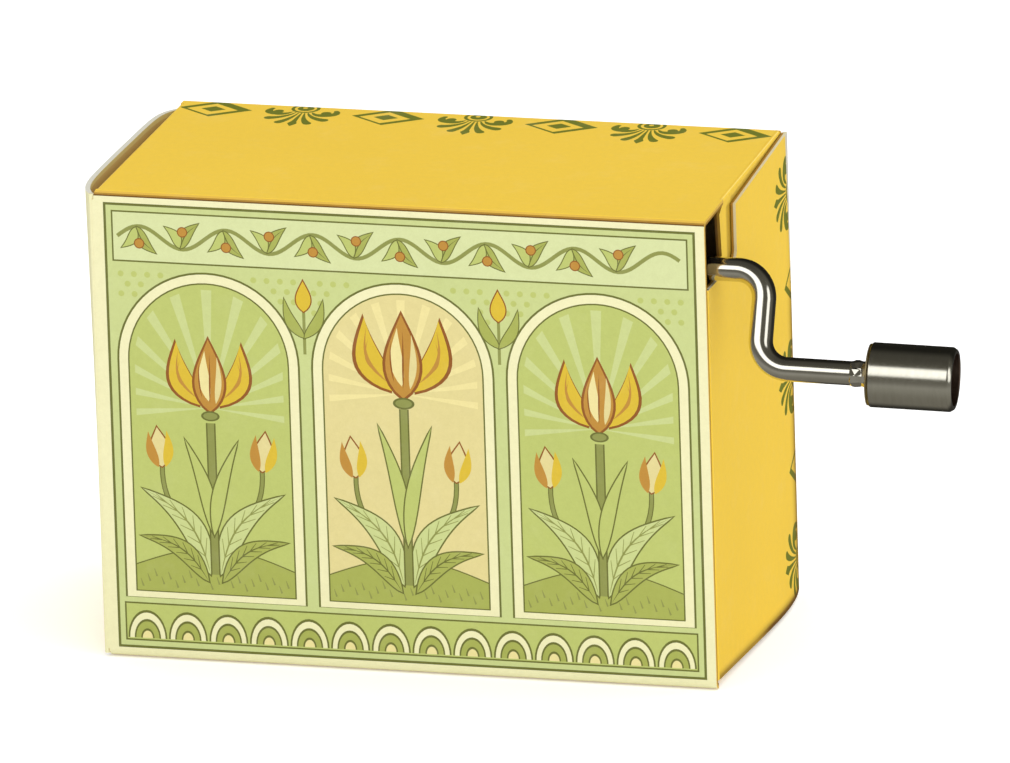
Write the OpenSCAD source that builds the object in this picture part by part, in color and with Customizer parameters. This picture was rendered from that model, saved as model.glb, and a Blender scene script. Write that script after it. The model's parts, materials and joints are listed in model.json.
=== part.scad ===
// Hand-cranked music box: a folded card carton with a comb movement inside and a bent crank.
// Millimetres. The origin is the middle of the carton's underside, +X points to the crank end,
// the printed front faces -Y and +Z is up.

/* [Carton] */
// Length of the carton over the hinges of its two end panels
carton_w = 60; // [56:0.5:76]
// Depth of the carton from front to back
carton_d = 31; // [28:0.5:40]
// Height of the carton
carton_h = 46; // [46:0.5:60]
// Thickness of the card
card_t = 0.5; // [0.4:0.05:0.6]
// Outer radius of the four long creases
crease_r = 0.8; // [0.7:0.05:1.2]
// Clearance between two layers of card that lie on each other
flap_gap = 0.1; // [0.08:0.01:0.2]
// Clearance between a crease and the edge of the wall that it turns on
crease_gap = 0.05; // [0.03:0.01:0.1]
// Width of the glue flap inside the bottom wall
glue_w = 8; // [5:0.5:10]

/* [End flaps] */
// How far the end panels stay inside the top and bottom of the carton at the hinge
panel_inset = 0.3; // [0.1:0.05:0.6]
// How much further the right panel stays below the top at its tuck fold
panel_taper = 2; // [0.5:0.1:2.5]
// How much further the panels stay inside at the tuck fold elsewhere
panel_foot = 0.4; // [0.2:0.1:1.5]
// How far the left panel bulges outwards
panel_bow = 1; // [0.5:0.1:1.5]
// Share of the left panel's width in which its bulge rises beside the hinge
bow_rise_share = 0.07; // [0.05:0.01:0.15]
// Share of the left panel's width in which its bulge falls beside the tuck fold
bow_fall_share = 0.05; // [0.04:0.01:0.15]
// Length of the tuck flaps
tuck_len = 6.5; // [5:0.25:7]
// Clearance between a tuck flap and the wall that it slides behind
tuck_gap = 0.4; // [0.4:0.05:0.6]
// Width of the crease between an end panel and its tuck flap
tuck_crease = 0.25; // [0.25:0.05:0.4]
// Corner cut of the tuck flaps
tuck_corner = 2; // [1:0.25:3]
// Length of the dust flaps
dust_len = 13; // [10:0.5:15]
// How much the dust flaps narrow along their free side
dust_taper = 1.5; // [1.5:0.1:3]
// Clearance beside the dust flaps
dust_side = 0.35; // [0.3:0.05:0.6]
// Width of the crank notch from the front of the carton
notch_w = 11.5; // [9:0.1:13]
// Clearance under the crank rod in the notch
notch_clear = 0.3; // [0.2:0.05:1.5]
// Space between the crank rod and the dust flap above it
slot_gap = 3.1; // [0.4:0.1:4]
// Corner radius of the crank notch
notch_r = 1; // [0.5:0.1:2]

/* [Crank] */
// Diameter of the crank rod
rod_d = 2.3; // [2.1:0.1:2.5]
// Distance of the crank shaft below the top of the carton
shaft_drop = 5.5; // [5.5:0.1:6.5]
// Throw of the crank
crank_throw = 9.1; // [8:0.05:14]
// Distance of the crank arm from the end of the carton
arm_out = 5; // [5:0.1:8]
// Bend radius of the rod's centre line
bend_r = 2.7; // [2:0.1:3.5]
// Angle of the arm at rest, forward from straight down
crank_angle = 24; // [0:1:60]
// Turn of the knob's pin out of the crank's plane, about the arm
pin_twist = 5; // [0:1:8]
// Length of rod between the lower bend and the knob
knob_reach = 8; // [6:0.2:14]
// Diameter of the knob
knob_d = 6.1; // [5.8:0.1:9]
// Length of the knob
knob_l = 8; // [6.5:0.5:14]
// Depth of the open recess in the knob's outer end
knob_recess = 4.8; // [4:0.1:5]
// Wall of the knob round the recess
knob_wall = 0.6; // [0.4:0.05:0.8]
// Chamfer of the knob's outer rim
knob_chamfer = 0.4; // [0.2:0.05:0.5]
// Chamfer of the knob's inner rim
rim_chamfer = 0.15; // [0.1:0.05:0.3]
// Running clearance on a radius
run_gap = 0.05; // [0.03:0.01:0.08]
// End play of a turning piece
end_play = 0.15; // [0.1:0.05:0.3]

/* [Movement] */
// Length of the bedplate
plate_l = 48; // [47:0.5:49]
// Height of the bedplate
plate_h = 32; // [31:0.5:34]
// Thickness of the bedplate
plate_t = 1.2; // [1:0.1:1.6]
// Thickness of the adhesive pads on the front wall
pad_t = 0.3; // [0.2:0.05:0.5]
// Space between the bedplate and the crank rod
shaft_clear = 0.25; // [0.2:0.05:0.5]
// Space between the movement and the card round it
plate_gap = 0.5; // [0.4:0.1:1]
// Thickness of the shaft lugs
lug_t = 2.6; // [2:0.1:3]
// Thickness of the drum lugs
drum_lug_t = 1.5; // [1.2:0.1:1.8]
// Wall of a bush
bush_wall = 0.7; // [0.5:0.05:0.9]
// Metal round a bush in its lug
lug_wall = 1; // [0.8:0.1:1.3]
// Thickness of a bush flange
flange_t = 0.4; // [0.3:0.05:0.5]

/* [Worm and wheel] */
// Gear module
gear_module = 0.5; // [0.46:0.01:0.52]
// Number of teeth on the drum wheel
gear_teeth = 24; // [22:1:26]
// Pitch radius of the worm
worm_pitch_r = 2.05; // [2.05:0.05:2.2]
// Length of the worm's thread
worm_l = 8.4; // [7:0.2:9]
// Length of the worm's collars
collar_l = 2.4; // [2:0.1:2.6]
// Face width of the drum wheel
gear_face = 2.4; // [2:0.1:2.8]
// Thickness of a tooth and of the thread as a part of the pitch
tooth_share = 0.395; // [0.36:0.005:0.42]

/* [Drum and comb] */
// Distance of the drum's axis from the crank side of the bedplate
drum_in = 14.75; // [14.5:0.25:15.5]
// Radius of the drum
drum_r = 6.5; // [6:0.1:6.6]
// Wall of the drum
drum_wall = 0.8; // [0.6:0.05:1.1]
// Radius of the drum's arbor
arbor_r = 0.9; // [0.8:0.05:1.1]
// Number of notes
notes = 18; // [12:1:18]
// Spacing of the notes
note_pitch = 1.05; // [1:0.01:1.06]
// Gap between two comb teeth
comb_slot = 0.3; // [0.2:0.01:0.4]
// Thickness of the comb at its screws
comb_t = 1; // [0.9:0.05:1.4]
// Thickness of the comb's teeth
tooth_t = 0.7; // [0.5:0.05:0.8]
// Length of the comb
comb_l = 25; // [24:0.5:25.5]
// Free length of the lowest tooth
bass_l = 16.5; // [15:0.25:17]
// Free length of the highest tooth
treble_l = 10.5; // [8:0.25:13]
// Space between the comb's tips and the pins
tip_gap = 0.15; // [0.12:0.01:0.3]
// Diameter of the drum's pins
pin_d = 0.5; // [0.4:0.02:0.6]
// Height of the drum's pins
pin_h = 0.7; // [0.5:0.05:0.8]
// Number of pins for each note
note_pins = 6; // [3:1:8]
// Thread diameter of the comb screws
screw_d = 2.4; // [2:0.1:2.6]
// Number of lowest teeth with a tuning weight
weights = 6; // [3:1:8]

/* [Hidden] */
$fn = 64;

card_yellow = [0.94, 0.79, 0.32];
nickel = [0.78, 0.78, 0.77];
zinc = [0.62, 0.63, 0.65];
brass = [0.83, 0.68, 0.35];
steel = [0.55, 0.57, 0.6];
lead = [0.4, 0.41, 0.43];
pad_white = [0.9, 0.9, 0.86];

// Overshoot of a cutting shape
over = 1;
half_t = card_t / 2;
end_x = carton_w / 2;
front_y = -carton_d / 2;
back_y = carton_d / 2;

// Right end of the carton: the left end is laid out the same, turned half round
panel_x = end_x - half_t;
dust_x = panel_x - card_t - flap_gap;
wall_stop_x = dust_x - half_t - crease_gap;
corner_x = dust_x + half_t;
hinge_stop_x = panel_x - half_t - crease_gap;
hinge_y = back_y - half_t;
tuck_y = front_y + card_t + tuck_gap + half_t;
panel_z0 = panel_inset;
panel_z1 = carton_h - panel_inset;
tuck_z0 = panel_z0 + panel_foot;
tuck_z1 = panel_z1 - panel_taper;
left_tuck_z1 = panel_z1 - panel_foot;
bow_steps = 24;
dust_z = carton_h - half_t;
dust_y0 = tuck_y + half_t + dust_side;
dust_y1 = hinge_y - half_t - dust_side;

// Crank shaft
rod_r = rod_d / 2;
plate_y0 = front_y + card_t + pad_t;
plate_y1 = plate_y0 + plate_t;
shaft_y = plate_y1 + shaft_clear + rod_r;
shaft_z = carton_h - shaft_drop;
notch_y = front_y + notch_w;
notch_z = shaft_z - rod_r - notch_clear;
slot_y = shaft_y + rod_r + slot_gap;
arm_x = end_x + arm_out;
knob_x0 = arm_x + bend_r + knob_reach;
knob_x1 = knob_x0 + knob_l;
knob_floor_x = knob_x1 - knob_recess;
knob_r = knob_d / 2;
recess_r = knob_r - knob_wall;
washer_t = 0.4;
washer_gap = 0.45;
washer_r = recess_r - washer_gap;
head_lip = 0.55;
head_r = rod_r + head_lip;
head_t = 0.8;
washer_x = knob_floor_x + end_play;
rod_x1 = washer_x + washer_t;
rim_washer_t = 0.15;
rim_washer_r = knob_r - rim_chamfer;
rim_washer_x1 = knob_x0 - run_gap;
rim_washer_x0 = rim_washer_x1 - rim_washer_t;
ear_d = 1.6;
ear_lip = 0.2;
ear_l = rod_d + 2 * ear_lip;

// Bedplate
plate_x1 = panel_x - tuck_len - plate_gap;
plate_x0 = plate_x1 - plate_l;
plate_z1 = carton_h - card_t - plate_gap;
plate_z0 = plate_z1 - plate_h;
plate_corner = 2;

// Worm and wheel
gear_pitch_r = gear_module * gear_teeth / 2;
gear_tip_r = gear_pitch_r + gear_module;
dedendum = 1.25 * gear_module;
gear_root_r = gear_pitch_r - dedendum;
worm_tip_r = worm_pitch_r + gear_module;
worm_root_r = worm_pitch_r - dedendum;
collar_r = worm_pitch_r;
worm_lead = PI * gear_module;
worm_lean = atan(worm_lead / (2 * PI * worm_pitch_r));
pressure_angle = 20;
flank = tan(pressure_angle);
half_tooth = tooth_share * worm_lead / 2;
half_tip = half_tooth - gear_module * flank;
half_root = half_tooth + dedendum * flank;
thread_sink = 0.15;
thread_steps = 20;

// Drum
drum_x = plate_x1 - drum_in;
drum_y = shaft_y + worm_pitch_r + gear_pitch_r;
gear_z0 = shaft_z - gear_face / 2;
gear_z1 = shaft_z + gear_face / 2;
bush_gap = flange_t + end_play;
drum_lug_z0 = plate_z1 - drum_lug_t;
drum_lug_z1 = plate_z0 + drum_lug_t;
rim_t = 0.7;
cap_t = 0.8;
spigot_l = 1.5;
hub_r = 2;
cap_hub_l = 1.2;
drum_z1 = gear_z0 - rim_t;
drum_z0 = drum_lug_z1 + bush_gap + cap_hub_l + cap_t;
drum_bore_r = drum_r - drum_wall;
pin_cover = 0.1;
pin_sink = drum_wall - pin_cover;
pin_tip_r = drum_r + pin_h;
golden = 137.5;
pin_scatter = 0.3;
cap_step = 0.3;

// Shaft lugs, worm, bushes and clip along the shaft
lug_clear = 1.1;
inner_lug_x1 = drum_x - gear_tip_r - lug_clear;
inner_lug_x0 = inner_lug_x1 - lug_t;
outer_lug_x0 = plate_x1 - lug_t;
flange_lip = 0.45;
shaft_bush_r = rod_r + run_gap + bush_wall;
lug_r = shaft_bush_r + lug_wall;
worm_x0 = inner_lug_x1 + bush_gap;
thread_x1 = drum_x + worm_l / 2;
collar_gap = 0.6;
worm_x1 = thread_x1 + collar_gap + collar_l;
worm_pin_d = 0.8;
pin_trim = 0.1;
worm_pin_x = worm_x1 - collar_l / 2;
clip_t = 0.4;
clip_r = 2.2;
clip_slack = 0.05;
groove_t = 0.3;
groove_r = rod_r - groove_t;
clip_x0 = inner_lug_x0 - end_play - clip_t;
rod_tail = 0.9;
rod_x0 = clip_x0 - rod_tail;
window_gap = 0.4;
arbor_bush_r = arbor_r + run_gap + bush_wall;
drum_lug_r = arbor_bush_r + lug_wall;
shaft_flange_r = shaft_bush_r + flange_lip;
arbor_flange_r = arbor_bush_r + flange_lip;

// Comb
comb_tip_x = drum_x - pin_tip_r - tip_gap;
comb_x0 = comb_tip_x - comb_l;
comb_edge = 0.5;
comb_width = notes * note_pitch + 2 * comb_edge;
comb_z = (drum_z0 + drum_z1) / 2;
comb_under_y = drum_y - comb_t / 2;
comb_face_y = drum_y + comb_t / 2;
seat_back = 0.8;
seat_l = comb_l - bass_l - seat_back;
screw_x = comb_x0 + seat_l / 2;
screw_share = 0.59;
screw_z = screw_share * comb_width / 2;
screw_l = 6;
screw_head_lip = 1;
screw_head_r = screw_d / 2 + screw_head_lip;
screw_head_t = 1.4;
screw_slot = 0.6;
weight_in = 1.2;
weight_t = 1.6;
weight_long = 3.6;
weight_short = 1.6;
pad_edge = 1.5;
pad_split = 2;
pad_share = 0.6;

// A shape drawn in Y and Z, carried along X
module along_x(x0, x1) {
    translate([x0, 0, 0]) rotate([90, 0, 90]) linear_extrude(x1 - x0) children();
}

// A shape drawn in X and Z, carried along Y
module along_y(y0, y1) {
    translate([0, y1, 0]) rotate([90, 0, 0]) linear_extrude(y1 - y0) children();
}

// A round bar along X
module x_bar(r, x0, x1) {
    translate([x0, 0, 0]) rotate([0, 90, 0]) cylinder(r = r, h = x1 - x0);
}

// A ring round X
module x_ring(r0, r1, x0, x1) {
    translate([x0, 0, 0]) rotate([0, 90, 0]) z_ring(r0, r1, 0, x1 - x0);
}

// A ring round Z
module z_ring(r0, r1, z0, z1) {
    translate([0, 0, z0]) rotate_extrude() translate([r0, 0]) square([r1 - r0, z1 - z0]);
}

module rounded_rect(w, h, r) {
    square([w - 2 * r, h], center = true);
    square([w, h - 2 * r], center = true);
    for (x = [r - w / 2, w / 2 - r], y = [r - h / 2, h / 2 - r]) translate([x, y]) circle(r = r);
}

// Moves a piece from its own drawing to the shaft, the crank or the drum
module at_shaft() {
    translate([0, shaft_y, shaft_z]) children();
}

module at_crank() {
    at_shaft() rotate([-crank_angle, 0, 0]) children();
}

// Turns what lies past the crank arm about the arm's own axis
module past_arm() {
    translate([arm_x, 0, -crank_throw]) rotate([0, 0, pin_twist]) translate([-arm_x, 0, 0]) children();
}

module at_drum() {
    translate([drum_x, drum_y, 0]) children();
}

module at_left_end() {
    rotate([0, 0, 180]) children();
}

module at_bottom() {
    translate([0, 0, carton_h]) mirror([0, 0, 1]) children();
}

// Four walls in one folded sheet, with the walls cut back where the flaps are creased on
module carton_sleeve() {
    color(card_yellow) difference() {
        along_x(-end_x, end_x) translate([0, carton_h / 2]) difference() {
            rounded_rect(carton_d, carton_h, crease_r);
            rounded_rect(carton_d - 2 * card_t, carton_h - 2 * card_t, crease_r - card_t);
        }
        sleeve_end(slot_y);
        at_left_end() sleeve_end(dust_y0);
    }
}

// What is cut from one end of the sleeve for its flaps, with the upper dust flap starting at y0
module sleeve_end(y0) {
    for (z = [-over, carton_h - crease_r]) translate([corner_x, front_y - over, z])
        cube([carton_w, carton_d + 2 * over, crease_r + over]);
    translate([wall_stop_x, y0 - flap_gap, carton_h - crease_r])
        cube([carton_w, dust_y1 + 2 * flap_gap - y0, crease_r + over]);
    translate([wall_stop_x, dust_y0 - flap_gap, -over])
        cube([carton_w, dust_y1 + 2 * flap_gap - dust_y0, crease_r + over]);
    translate([hinge_stop_x, back_y - crease_r - over, -over])
        cube([carton_w, crease_r + 2 * over, carton_h + 2 * over]);
}

// Strip that closes the sleeve, glued to the inside of the bottom wall at the back
module glue_flap() {
    color(card_yellow) along_x(-wall_stop_x + dust_side, wall_stop_x - dust_side)
        translate([back_y - card_t - 2 * tuck_gap - card_t - glue_w, card_t]) square([glue_w, card_t]);
}

// Outline of an end panel in Y and Z, with its tuck fold reaching up to height z1
module panel_outline(z1) {
    polygon([[tuck_y, tuck_z0], [hinge_y, panel_z0], [hinge_y, panel_z1], [tuck_y, z1]]);
}

// Round creases along an end panel's hinge and its tuck fold
module panel_creases(z1) {
    translate([panel_x, hinge_y, panel_z0]) cylinder(r = half_t, h = panel_z1 - panel_z0);
    translate([panel_x, tuck_y, tuck_z0]) cylinder(r = half_t, h = z1 - tuck_z0);
}

// Bulge of the left panel at a share of the way from its hinge to its tuck fold
function bow_at(share) =
    panel_bow * (1 - exp(-share / bow_rise_share)) * (1 - exp((share - 1) / bow_fall_share));

// Point in X and Y on one face of the bulging panel
function bow_point(share, side) = [panel_x + side + bow_at(share), hinge_y + (tuck_y - hinge_y) * share];

// Strip in X and Y that bulges outwards between the hinge and the tuck fold
module bowed_strip() {
    outer = [for (i = [0 : bow_steps]) bow_point(i / bow_steps, half_t)];
    inner = [for (i = [bow_steps : -1 : 0]) bow_point(i / bow_steps, -half_t)];
    polygon(concat(outer, inner));
}

// Tuck flap that runs in behind the front wall, up to height z1
module tuck_flap(z1) {
    root_x = panel_x - half_t - tuck_crease;
    tip_x = panel_x - tuck_len;
    along_y(tuck_y - half_t, tuck_y + half_t) polygon([[root_x, tuck_z0], [tip_x + tuck_corner, tuck_z0],
        [tip_x, tuck_z0 + tuck_corner], [tip_x, z1 - tuck_corner], [tip_x + tuck_corner, z1], [root_x, z1]]);
}

// Dust flap that hangs from the top wall, cut at 45 degrees beside the end panel's hinge
module dust_flap(y0) {
    along_x(dust_x - half_t, dust_x + half_t) polygon([[y0, dust_z], [dust_y1, dust_z],
        [dust_y1 - dust_len, dust_z - dust_len], [y0 + dust_taper, dust_z - dust_len]]);
    translate([dust_x, y0, dust_z]) rotate([-90, 0, 0]) cylinder(r = half_t, h = dust_y1 - y0);
}

module left_end_panel() {
    color(card_yellow) at_left_end() {
        intersection() {
            along_x(panel_x - card_t, end_x + panel_bow + over) panel_outline(left_tuck_z1);
            linear_extrude(carton_h) bowed_strip();
        }
        panel_creases(left_tuck_z1);
    }
}

module left_tuck_flap() {
    color(card_yellow) at_left_end() tuck_flap(left_tuck_z1);
}

module left_upper_dust_flap() {
    color(card_yellow) at_left_end() dust_flap(dust_y0);
}

module left_lower_dust_flap() {
    color(card_yellow) at_left_end() at_bottom() dust_flap(dust_y0);
}

// The crank rod passes through a notch that is open at the top front corner
module right_end_panel() {
    color(card_yellow) difference() {
        union() {
            along_x(panel_x - half_t, panel_x + half_t) panel_outline(tuck_z1);
            panel_creases(tuck_z1);
        }
        along_x(panel_x - over, panel_x + over) {
            translate([front_y, notch_z]) square([notch_w - notch_r, carton_h]);
            translate([front_y, notch_z + notch_r]) square([notch_w, carton_h]);
            translate([notch_y - notch_r, notch_z + notch_r]) circle(r = notch_r);
        }
    }
}

module right_tuck_flap() {
    color(card_yellow) tuck_flap(notch_z);
}

module right_upper_dust_flap() {
    color(card_yellow) dust_flap(slot_y);
}

module right_lower_dust_flap() {
    color(card_yellow) at_bottom() dust_flap(dust_y0);
}

// Lug for a shaft bush, standing on the plate
module shaft_lug(x0) {
    along_x(x0, x0 + lug_t) {
        translate([plate_y0, shaft_z - lug_r]) square([shaft_y - plate_y0, 2 * lug_r]);
        translate([shaft_y, shaft_z]) circle(r = lug_r);
    }
}

// Lug for an arbor bush, bent up from an edge of the plate
module drum_lug(z0) {
    translate([0, 0, z0]) linear_extrude(drum_lug_t) {
        translate([drum_x - drum_lug_r, plate_y0]) square([2 * drum_lug_r, drum_y - plate_y0]);
        translate([drum_x, drum_y]) circle(r = drum_lug_r);
    }
}

// Opening through the plate behind the shaft
module shaft_window(x0, x1, half_h) {
    translate([x0, plate_y0 - over, shaft_z - half_h]) cube([x1 - x0, plate_t + 2 * over, 2 * half_h]);
}

// Cast plate with the comb's seat, two shaft lugs and two drum lugs, open behind the worm and the clip
module bedplate() {
    color(zinc) difference() {
        union() {
            along_y(plate_y0, plate_y1) translate([(plate_x0 + plate_x1) / 2, (plate_z0 + plate_z1) / 2])
                rounded_rect(plate_l, plate_h, plate_corner);
            translate([comb_x0, plate_y0, comb_z - comb_width / 2])
                cube([seat_l, comb_under_y - plate_y0, comb_width]);
            shaft_lug(inner_lug_x0);
            shaft_lug(outer_lug_x0);
            drum_lug(drum_lug_z0);
            drum_lug(plate_z0);
        }
        shaft_window(inner_lug_x1, outer_lug_x0, worm_tip_r + window_gap);
        shaft_window(rod_x0 - window_gap, inner_lug_x0, clip_r + window_gap);
        at_shaft() x_bar(shaft_bush_r, inner_lug_x0, plate_x1 + over);
        at_drum() translate([0, 0, plate_z0 - over]) cylinder(r = arbor_bush_r, h = plate_h + 2 * over);
        for (s = [-1, 1]) translate([screw_x, comb_face_y, comb_z + s * screw_z])
            rotate([90, 0, 0]) cylinder(r = screw_d / 2 + run_gap, h = screw_l + comb_t);
    }
}

// Two pads that hold the bedplate to the front wall
module adhesive_pads() {
    color(pad_white) along_y(plate_y0 - pad_t, plate_y0) {
        translate([plate_x0 + pad_edge, plate_z0 + pad_edge])
            square([inner_lug_x0 - pad_split - plate_x0, plate_h - 2 * pad_edge]);
        translate([inner_lug_x1 + pad_split, plate_z0 + pad_edge])
            square([plate_x1 - pad_edge - inner_lug_x1 - pad_split, pad_share * plate_h]);
    }
}

function note_z(i) = comb_z + (i - (notes - 1) / 2) * note_pitch;
function note_l(i) = bass_l + (treble_l - bass_l) * i / (notes - 1);

// Steel comb with its lowest note at the bottom
module comb() {
    color(steel) difference() {
        union() {
            translate([comb_x0, comb_under_y, comb_z - comb_width / 2])
                cube([comb_l - treble_l, comb_t, comb_width]);
            translate([comb_x0, drum_y - tooth_t / 2, comb_z - notes * note_pitch / 2])
                cube([comb_l, tooth_t, notes * note_pitch]);
        }
        for (i = [0 : notes - 2])
            translate([comb_tip_x - note_l(i), comb_under_y - over, note_z(i + 0.5) - comb_slot / 2])
                cube([note_l(i) + over, comb_t + 2 * over, comb_slot]);
        for (s = [-1, 1]) translate([screw_x, comb_face_y + over, comb_z + s * screw_z])
            rotate([90, 0, 0]) cylinder(r = screw_d / 2 + run_gap, h = comb_t + 2 * over);
    }
}

// Lead slugs under the tips of the lowest teeth
module comb_tuning_weights() {
    color(lead) for (i = [0 : weights - 1]) {
        l = weight_long - (weight_long - weight_short) * i / weights;
        w = note_pitch - comb_slot;
        translate([comb_tip_x - weight_in - l, drum_y - tooth_t / 2 - weight_t, note_z(i) - w / 2])
            cube([l, weight_t, w]);
    }
}

module comb_screws() {
    color(nickel) for (s = [-1, 1])
        translate([screw_x, comb_face_y, comb_z + s * screw_z]) rotate([90, 0, 0]) {
        cylinder(r = screw_d / 2, h = screw_l);
        difference() {
            translate([0, 0, -screw_head_t]) cylinder(r = screw_head_r, h = screw_head_t);
            translate([-screw_head_r - over, -screw_slot / 2, -screw_head_t - over])
                cube([2 * (screw_head_r + over), screw_slot, over + screw_head_t / 2]);
        }
    }
}

// Flanged bush round X, with its flange on the far side of the lug
module shaft_outer_bush() {
    color(brass) at_shaft() {
        x_ring(rod_r + run_gap, shaft_bush_r, outer_lug_x0, plate_x1);
        x_ring(rod_r + run_gap, shaft_flange_r, outer_lug_x0 - flange_t, outer_lug_x0);
    }
}

module shaft_inner_bush() {
    color(brass) at_shaft() {
        x_ring(rod_r + run_gap, shaft_bush_r, inner_lug_x0, inner_lug_x1);
        x_ring(rod_r + run_gap, shaft_flange_r, inner_lug_x1, inner_lug_x1 + flange_t);
    }
}

module arbor_upper_bush() {
    color(brass) at_drum() {
        z_ring(arbor_r + run_gap, arbor_bush_r, drum_lug_z0, plate_z1);
        z_ring(arbor_r + run_gap, arbor_flange_r, drum_lug_z0 - flange_t, drum_lug_z0);
    }
}

module arbor_lower_bush() {
    color(brass) at_drum() {
        z_ring(arbor_r + run_gap, arbor_bush_r, plate_z0, drum_lug_z1);
        z_ring(arbor_r + run_gap, arbor_flange_r, drum_lug_z1, drum_lug_z1 + flange_t);
    }
}

// A quarter bend of the rod, from +X up to +Z round its own centre
module quarter_bend(turn) {
    rotate([90, 0, 0]) rotate([0, 0, turn]) rotate_extrude(angle = 90)
        translate([bend_r, 0]) circle(r = rod_r);
}

// Rod bent twice, with a clip groove and a pin hole inside, and squeezed ears and a riveted head at the knob
module crank_rod() {
    color(nickel) at_crank() difference() {
        union() {
            x_bar(rod_r, rod_x0, arm_x - bend_r);
            translate([arm_x - bend_r, 0, -bend_r]) quarter_bend(0);
            translate([arm_x, 0, bend_r - crank_throw]) cylinder(r = rod_r, h = crank_throw - 2 * bend_r);
            past_arm() {
                translate([arm_x + bend_r, 0, bend_r]) quarter_bend(180);
                x_bar(rod_r, arm_x + bend_r, rod_x1);
                x_bar(head_r, rod_x1, rod_x1 + head_t);
                translate([rim_washer_x0 - ear_d / 2, 0, 0]) rotate([90, 0, 0])
                    cylinder(r = ear_d / 2, h = ear_l, center = true);
            }
        }
        x_ring(groove_r, rod_r + over, clip_x0, clip_x0 + clip_t + clip_slack);
        translate([worm_pin_x, 0, 0]) cylinder(r = worm_pin_d / 2, h = 2 * rod_d, center = true);
    }
}

// The thread's section at an angle along the helix, from its sunk root to its tip
function thread_ring(a) = [for (p = [[-half_root, worm_root_r - thread_sink], [-half_tip, worm_tip_r],
    [half_tip, worm_tip_r], [half_root, worm_root_r - thread_sink]])
    [drum_x + worm_lead * a / 360 + p[0], p[1] * cos(a), p[1] * sin(a)]];

// Right-handed worm with a collar at each end of its thread
module worm() {
    turns = (worm_l - 2 * half_root) / worm_lead;
    steps = ceil(turns * thread_steps);
    points = [for (i = [0 : steps]) each thread_ring(360 * turns * (i / steps - 0.5))];
    sides = [for (i = [0 : steps - 1], k = [0 : 3]) [4 * i + k, 4 * i + (k + 1) % 4,
        4 * i + 4 + (k + 1) % 4, 4 * i + 4 + k]];
    ends = [[3, 2, 1, 0], [4 * steps, 4 * steps + 1, 4 * steps + 2, 4 * steps + 3]];
    color(brass) at_shaft() difference() {
        union() {
            x_ring(rod_r, worm_root_r, worm_x0, worm_x1);
            x_ring(rod_r, collar_r, worm_x0, worm_x0 + collar_l);
            x_ring(rod_r, collar_r, worm_x1 - collar_l, worm_x1);
            polyhedron(points, concat(sides, ends));
        }
        rotate([-crank_angle, 0, 0]) translate([worm_pin_x, 0, 0])
            cylinder(r = worm_pin_d / 2, h = 3 * collar_r, center = true);
    }
}

module worm_pin() {
    color(steel) at_crank() translate([worm_pin_x, 0, 0])
        cylinder(r = worm_pin_d / 2, h = 2 * (collar_r - pin_trim), center = true);
}

// Open ring that snaps into the rod's groove
module shaft_clip() {
    color(steel) at_crank() difference() {
        x_ring(groove_r + clip_slack / 2, clip_r, clip_x0, clip_x0 + clip_t);
        translate([clip_x0 - over, -groove_r, 0]) cube([clip_t + 2 * over, 2 * groove_r, clip_r + over]);
    }
}

module knob_washer() {
    color(steel) at_crank() past_arm() x_ring(rod_r, washer_r, washer_x, rod_x1);
}

// Brass washer that shows as a thin rim between the rod's ears and the knob
module knob_rim_washer() {
    color(brass) at_crank() past_arm() x_ring(rod_r, rim_washer_r, rim_washer_x0, rim_washer_x1);
}

// Hollow knob that turns on the rod's end
module crank_knob() {
    color(nickel) at_crank() past_arm() translate([knob_x0, 0, 0]) rotate([0, 90, 0]) rotate_extrude()
        polygon([[rod_r + run_gap, 0], [knob_r - rim_chamfer, 0], [knob_r, rim_chamfer],
            [knob_r, knob_l - knob_chamfer], [knob_r - knob_chamfer / 2, knob_l], [recess_r, knob_l],
            [recess_r, knob_l - knob_recess], [rod_r + run_gap, knob_l - knob_recess]]);
}

module drum_shell() {
    color(brass) at_drum() z_ring(drum_bore_r, drum_r, drum_z0, drum_z1);
}

// Pins set round each note's track, each track turned on by the golden angle
module drum_pins() {
    color(steel) at_drum() for (i = [0 : notes - 1], k = [0 : note_pins - 1])
        rotate([0, 0, golden * i + 360 * (k + pin_scatter * sin(golden * i * k)) / note_pins])
            translate([drum_r - pin_sink, 0, note_z(i)]) rotate([0, 90, 0])
                cylinder(r = pin_d / 2, h = pin_sink + pin_h);
}

// Wheel with leaning teeth, which also closes the drum's upper end
module drum_gear() {
    color(brass) at_drum() difference() {
        union() {
            translate([0, 0, gear_z0]) cylinder(r = gear_root_r, h = gear_face);
            translate([0, 0, drum_z1]) cylinder(r = gear_root_r, h = rim_t);
            translate([0, 0, drum_z1 - spigot_l]) cylinder(r = drum_bore_r, h = spigot_l);
            translate([0, 0, gear_z1]) cylinder(r = hub_r, h = drum_lug_z0 - bush_gap - gear_z1);
            for (i = [0 : gear_teeth - 1]) rotate([0, 0, 360 * (i + 0.5) / gear_teeth - 90])
                translate([0, 0, shaft_z]) rotate([-worm_lean, 0, 0]) linear_extrude(gear_face, center = true)
                    polygon([[gear_root_r - thread_sink, -half_root], [gear_tip_r, -half_tip],
                        [gear_tip_r, half_tip], [gear_root_r - thread_sink, half_root]]);
        }
        translate([0, 0, plate_z0]) cylinder(r = arbor_r, h = plate_h);
    }
}

module drum_end_cap() {
    color(brass) at_drum() {
        z_ring(arbor_r, drum_r - cap_step, drum_z0 - cap_t, drum_z0);
        z_ring(arbor_r, drum_bore_r, drum_z0, drum_z0 + spigot_l);
        z_ring(arbor_r, hub_r, drum_z0 - cap_t - cap_hub_l, drum_z0 - cap_t);
    }
}

module drum_arbor() {
    color(steel) at_drum() translate([0, 0, plate_z0 + run_gap])
        cylinder(r = arbor_r, h = plate_h - 2 * run_gap);
}

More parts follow.
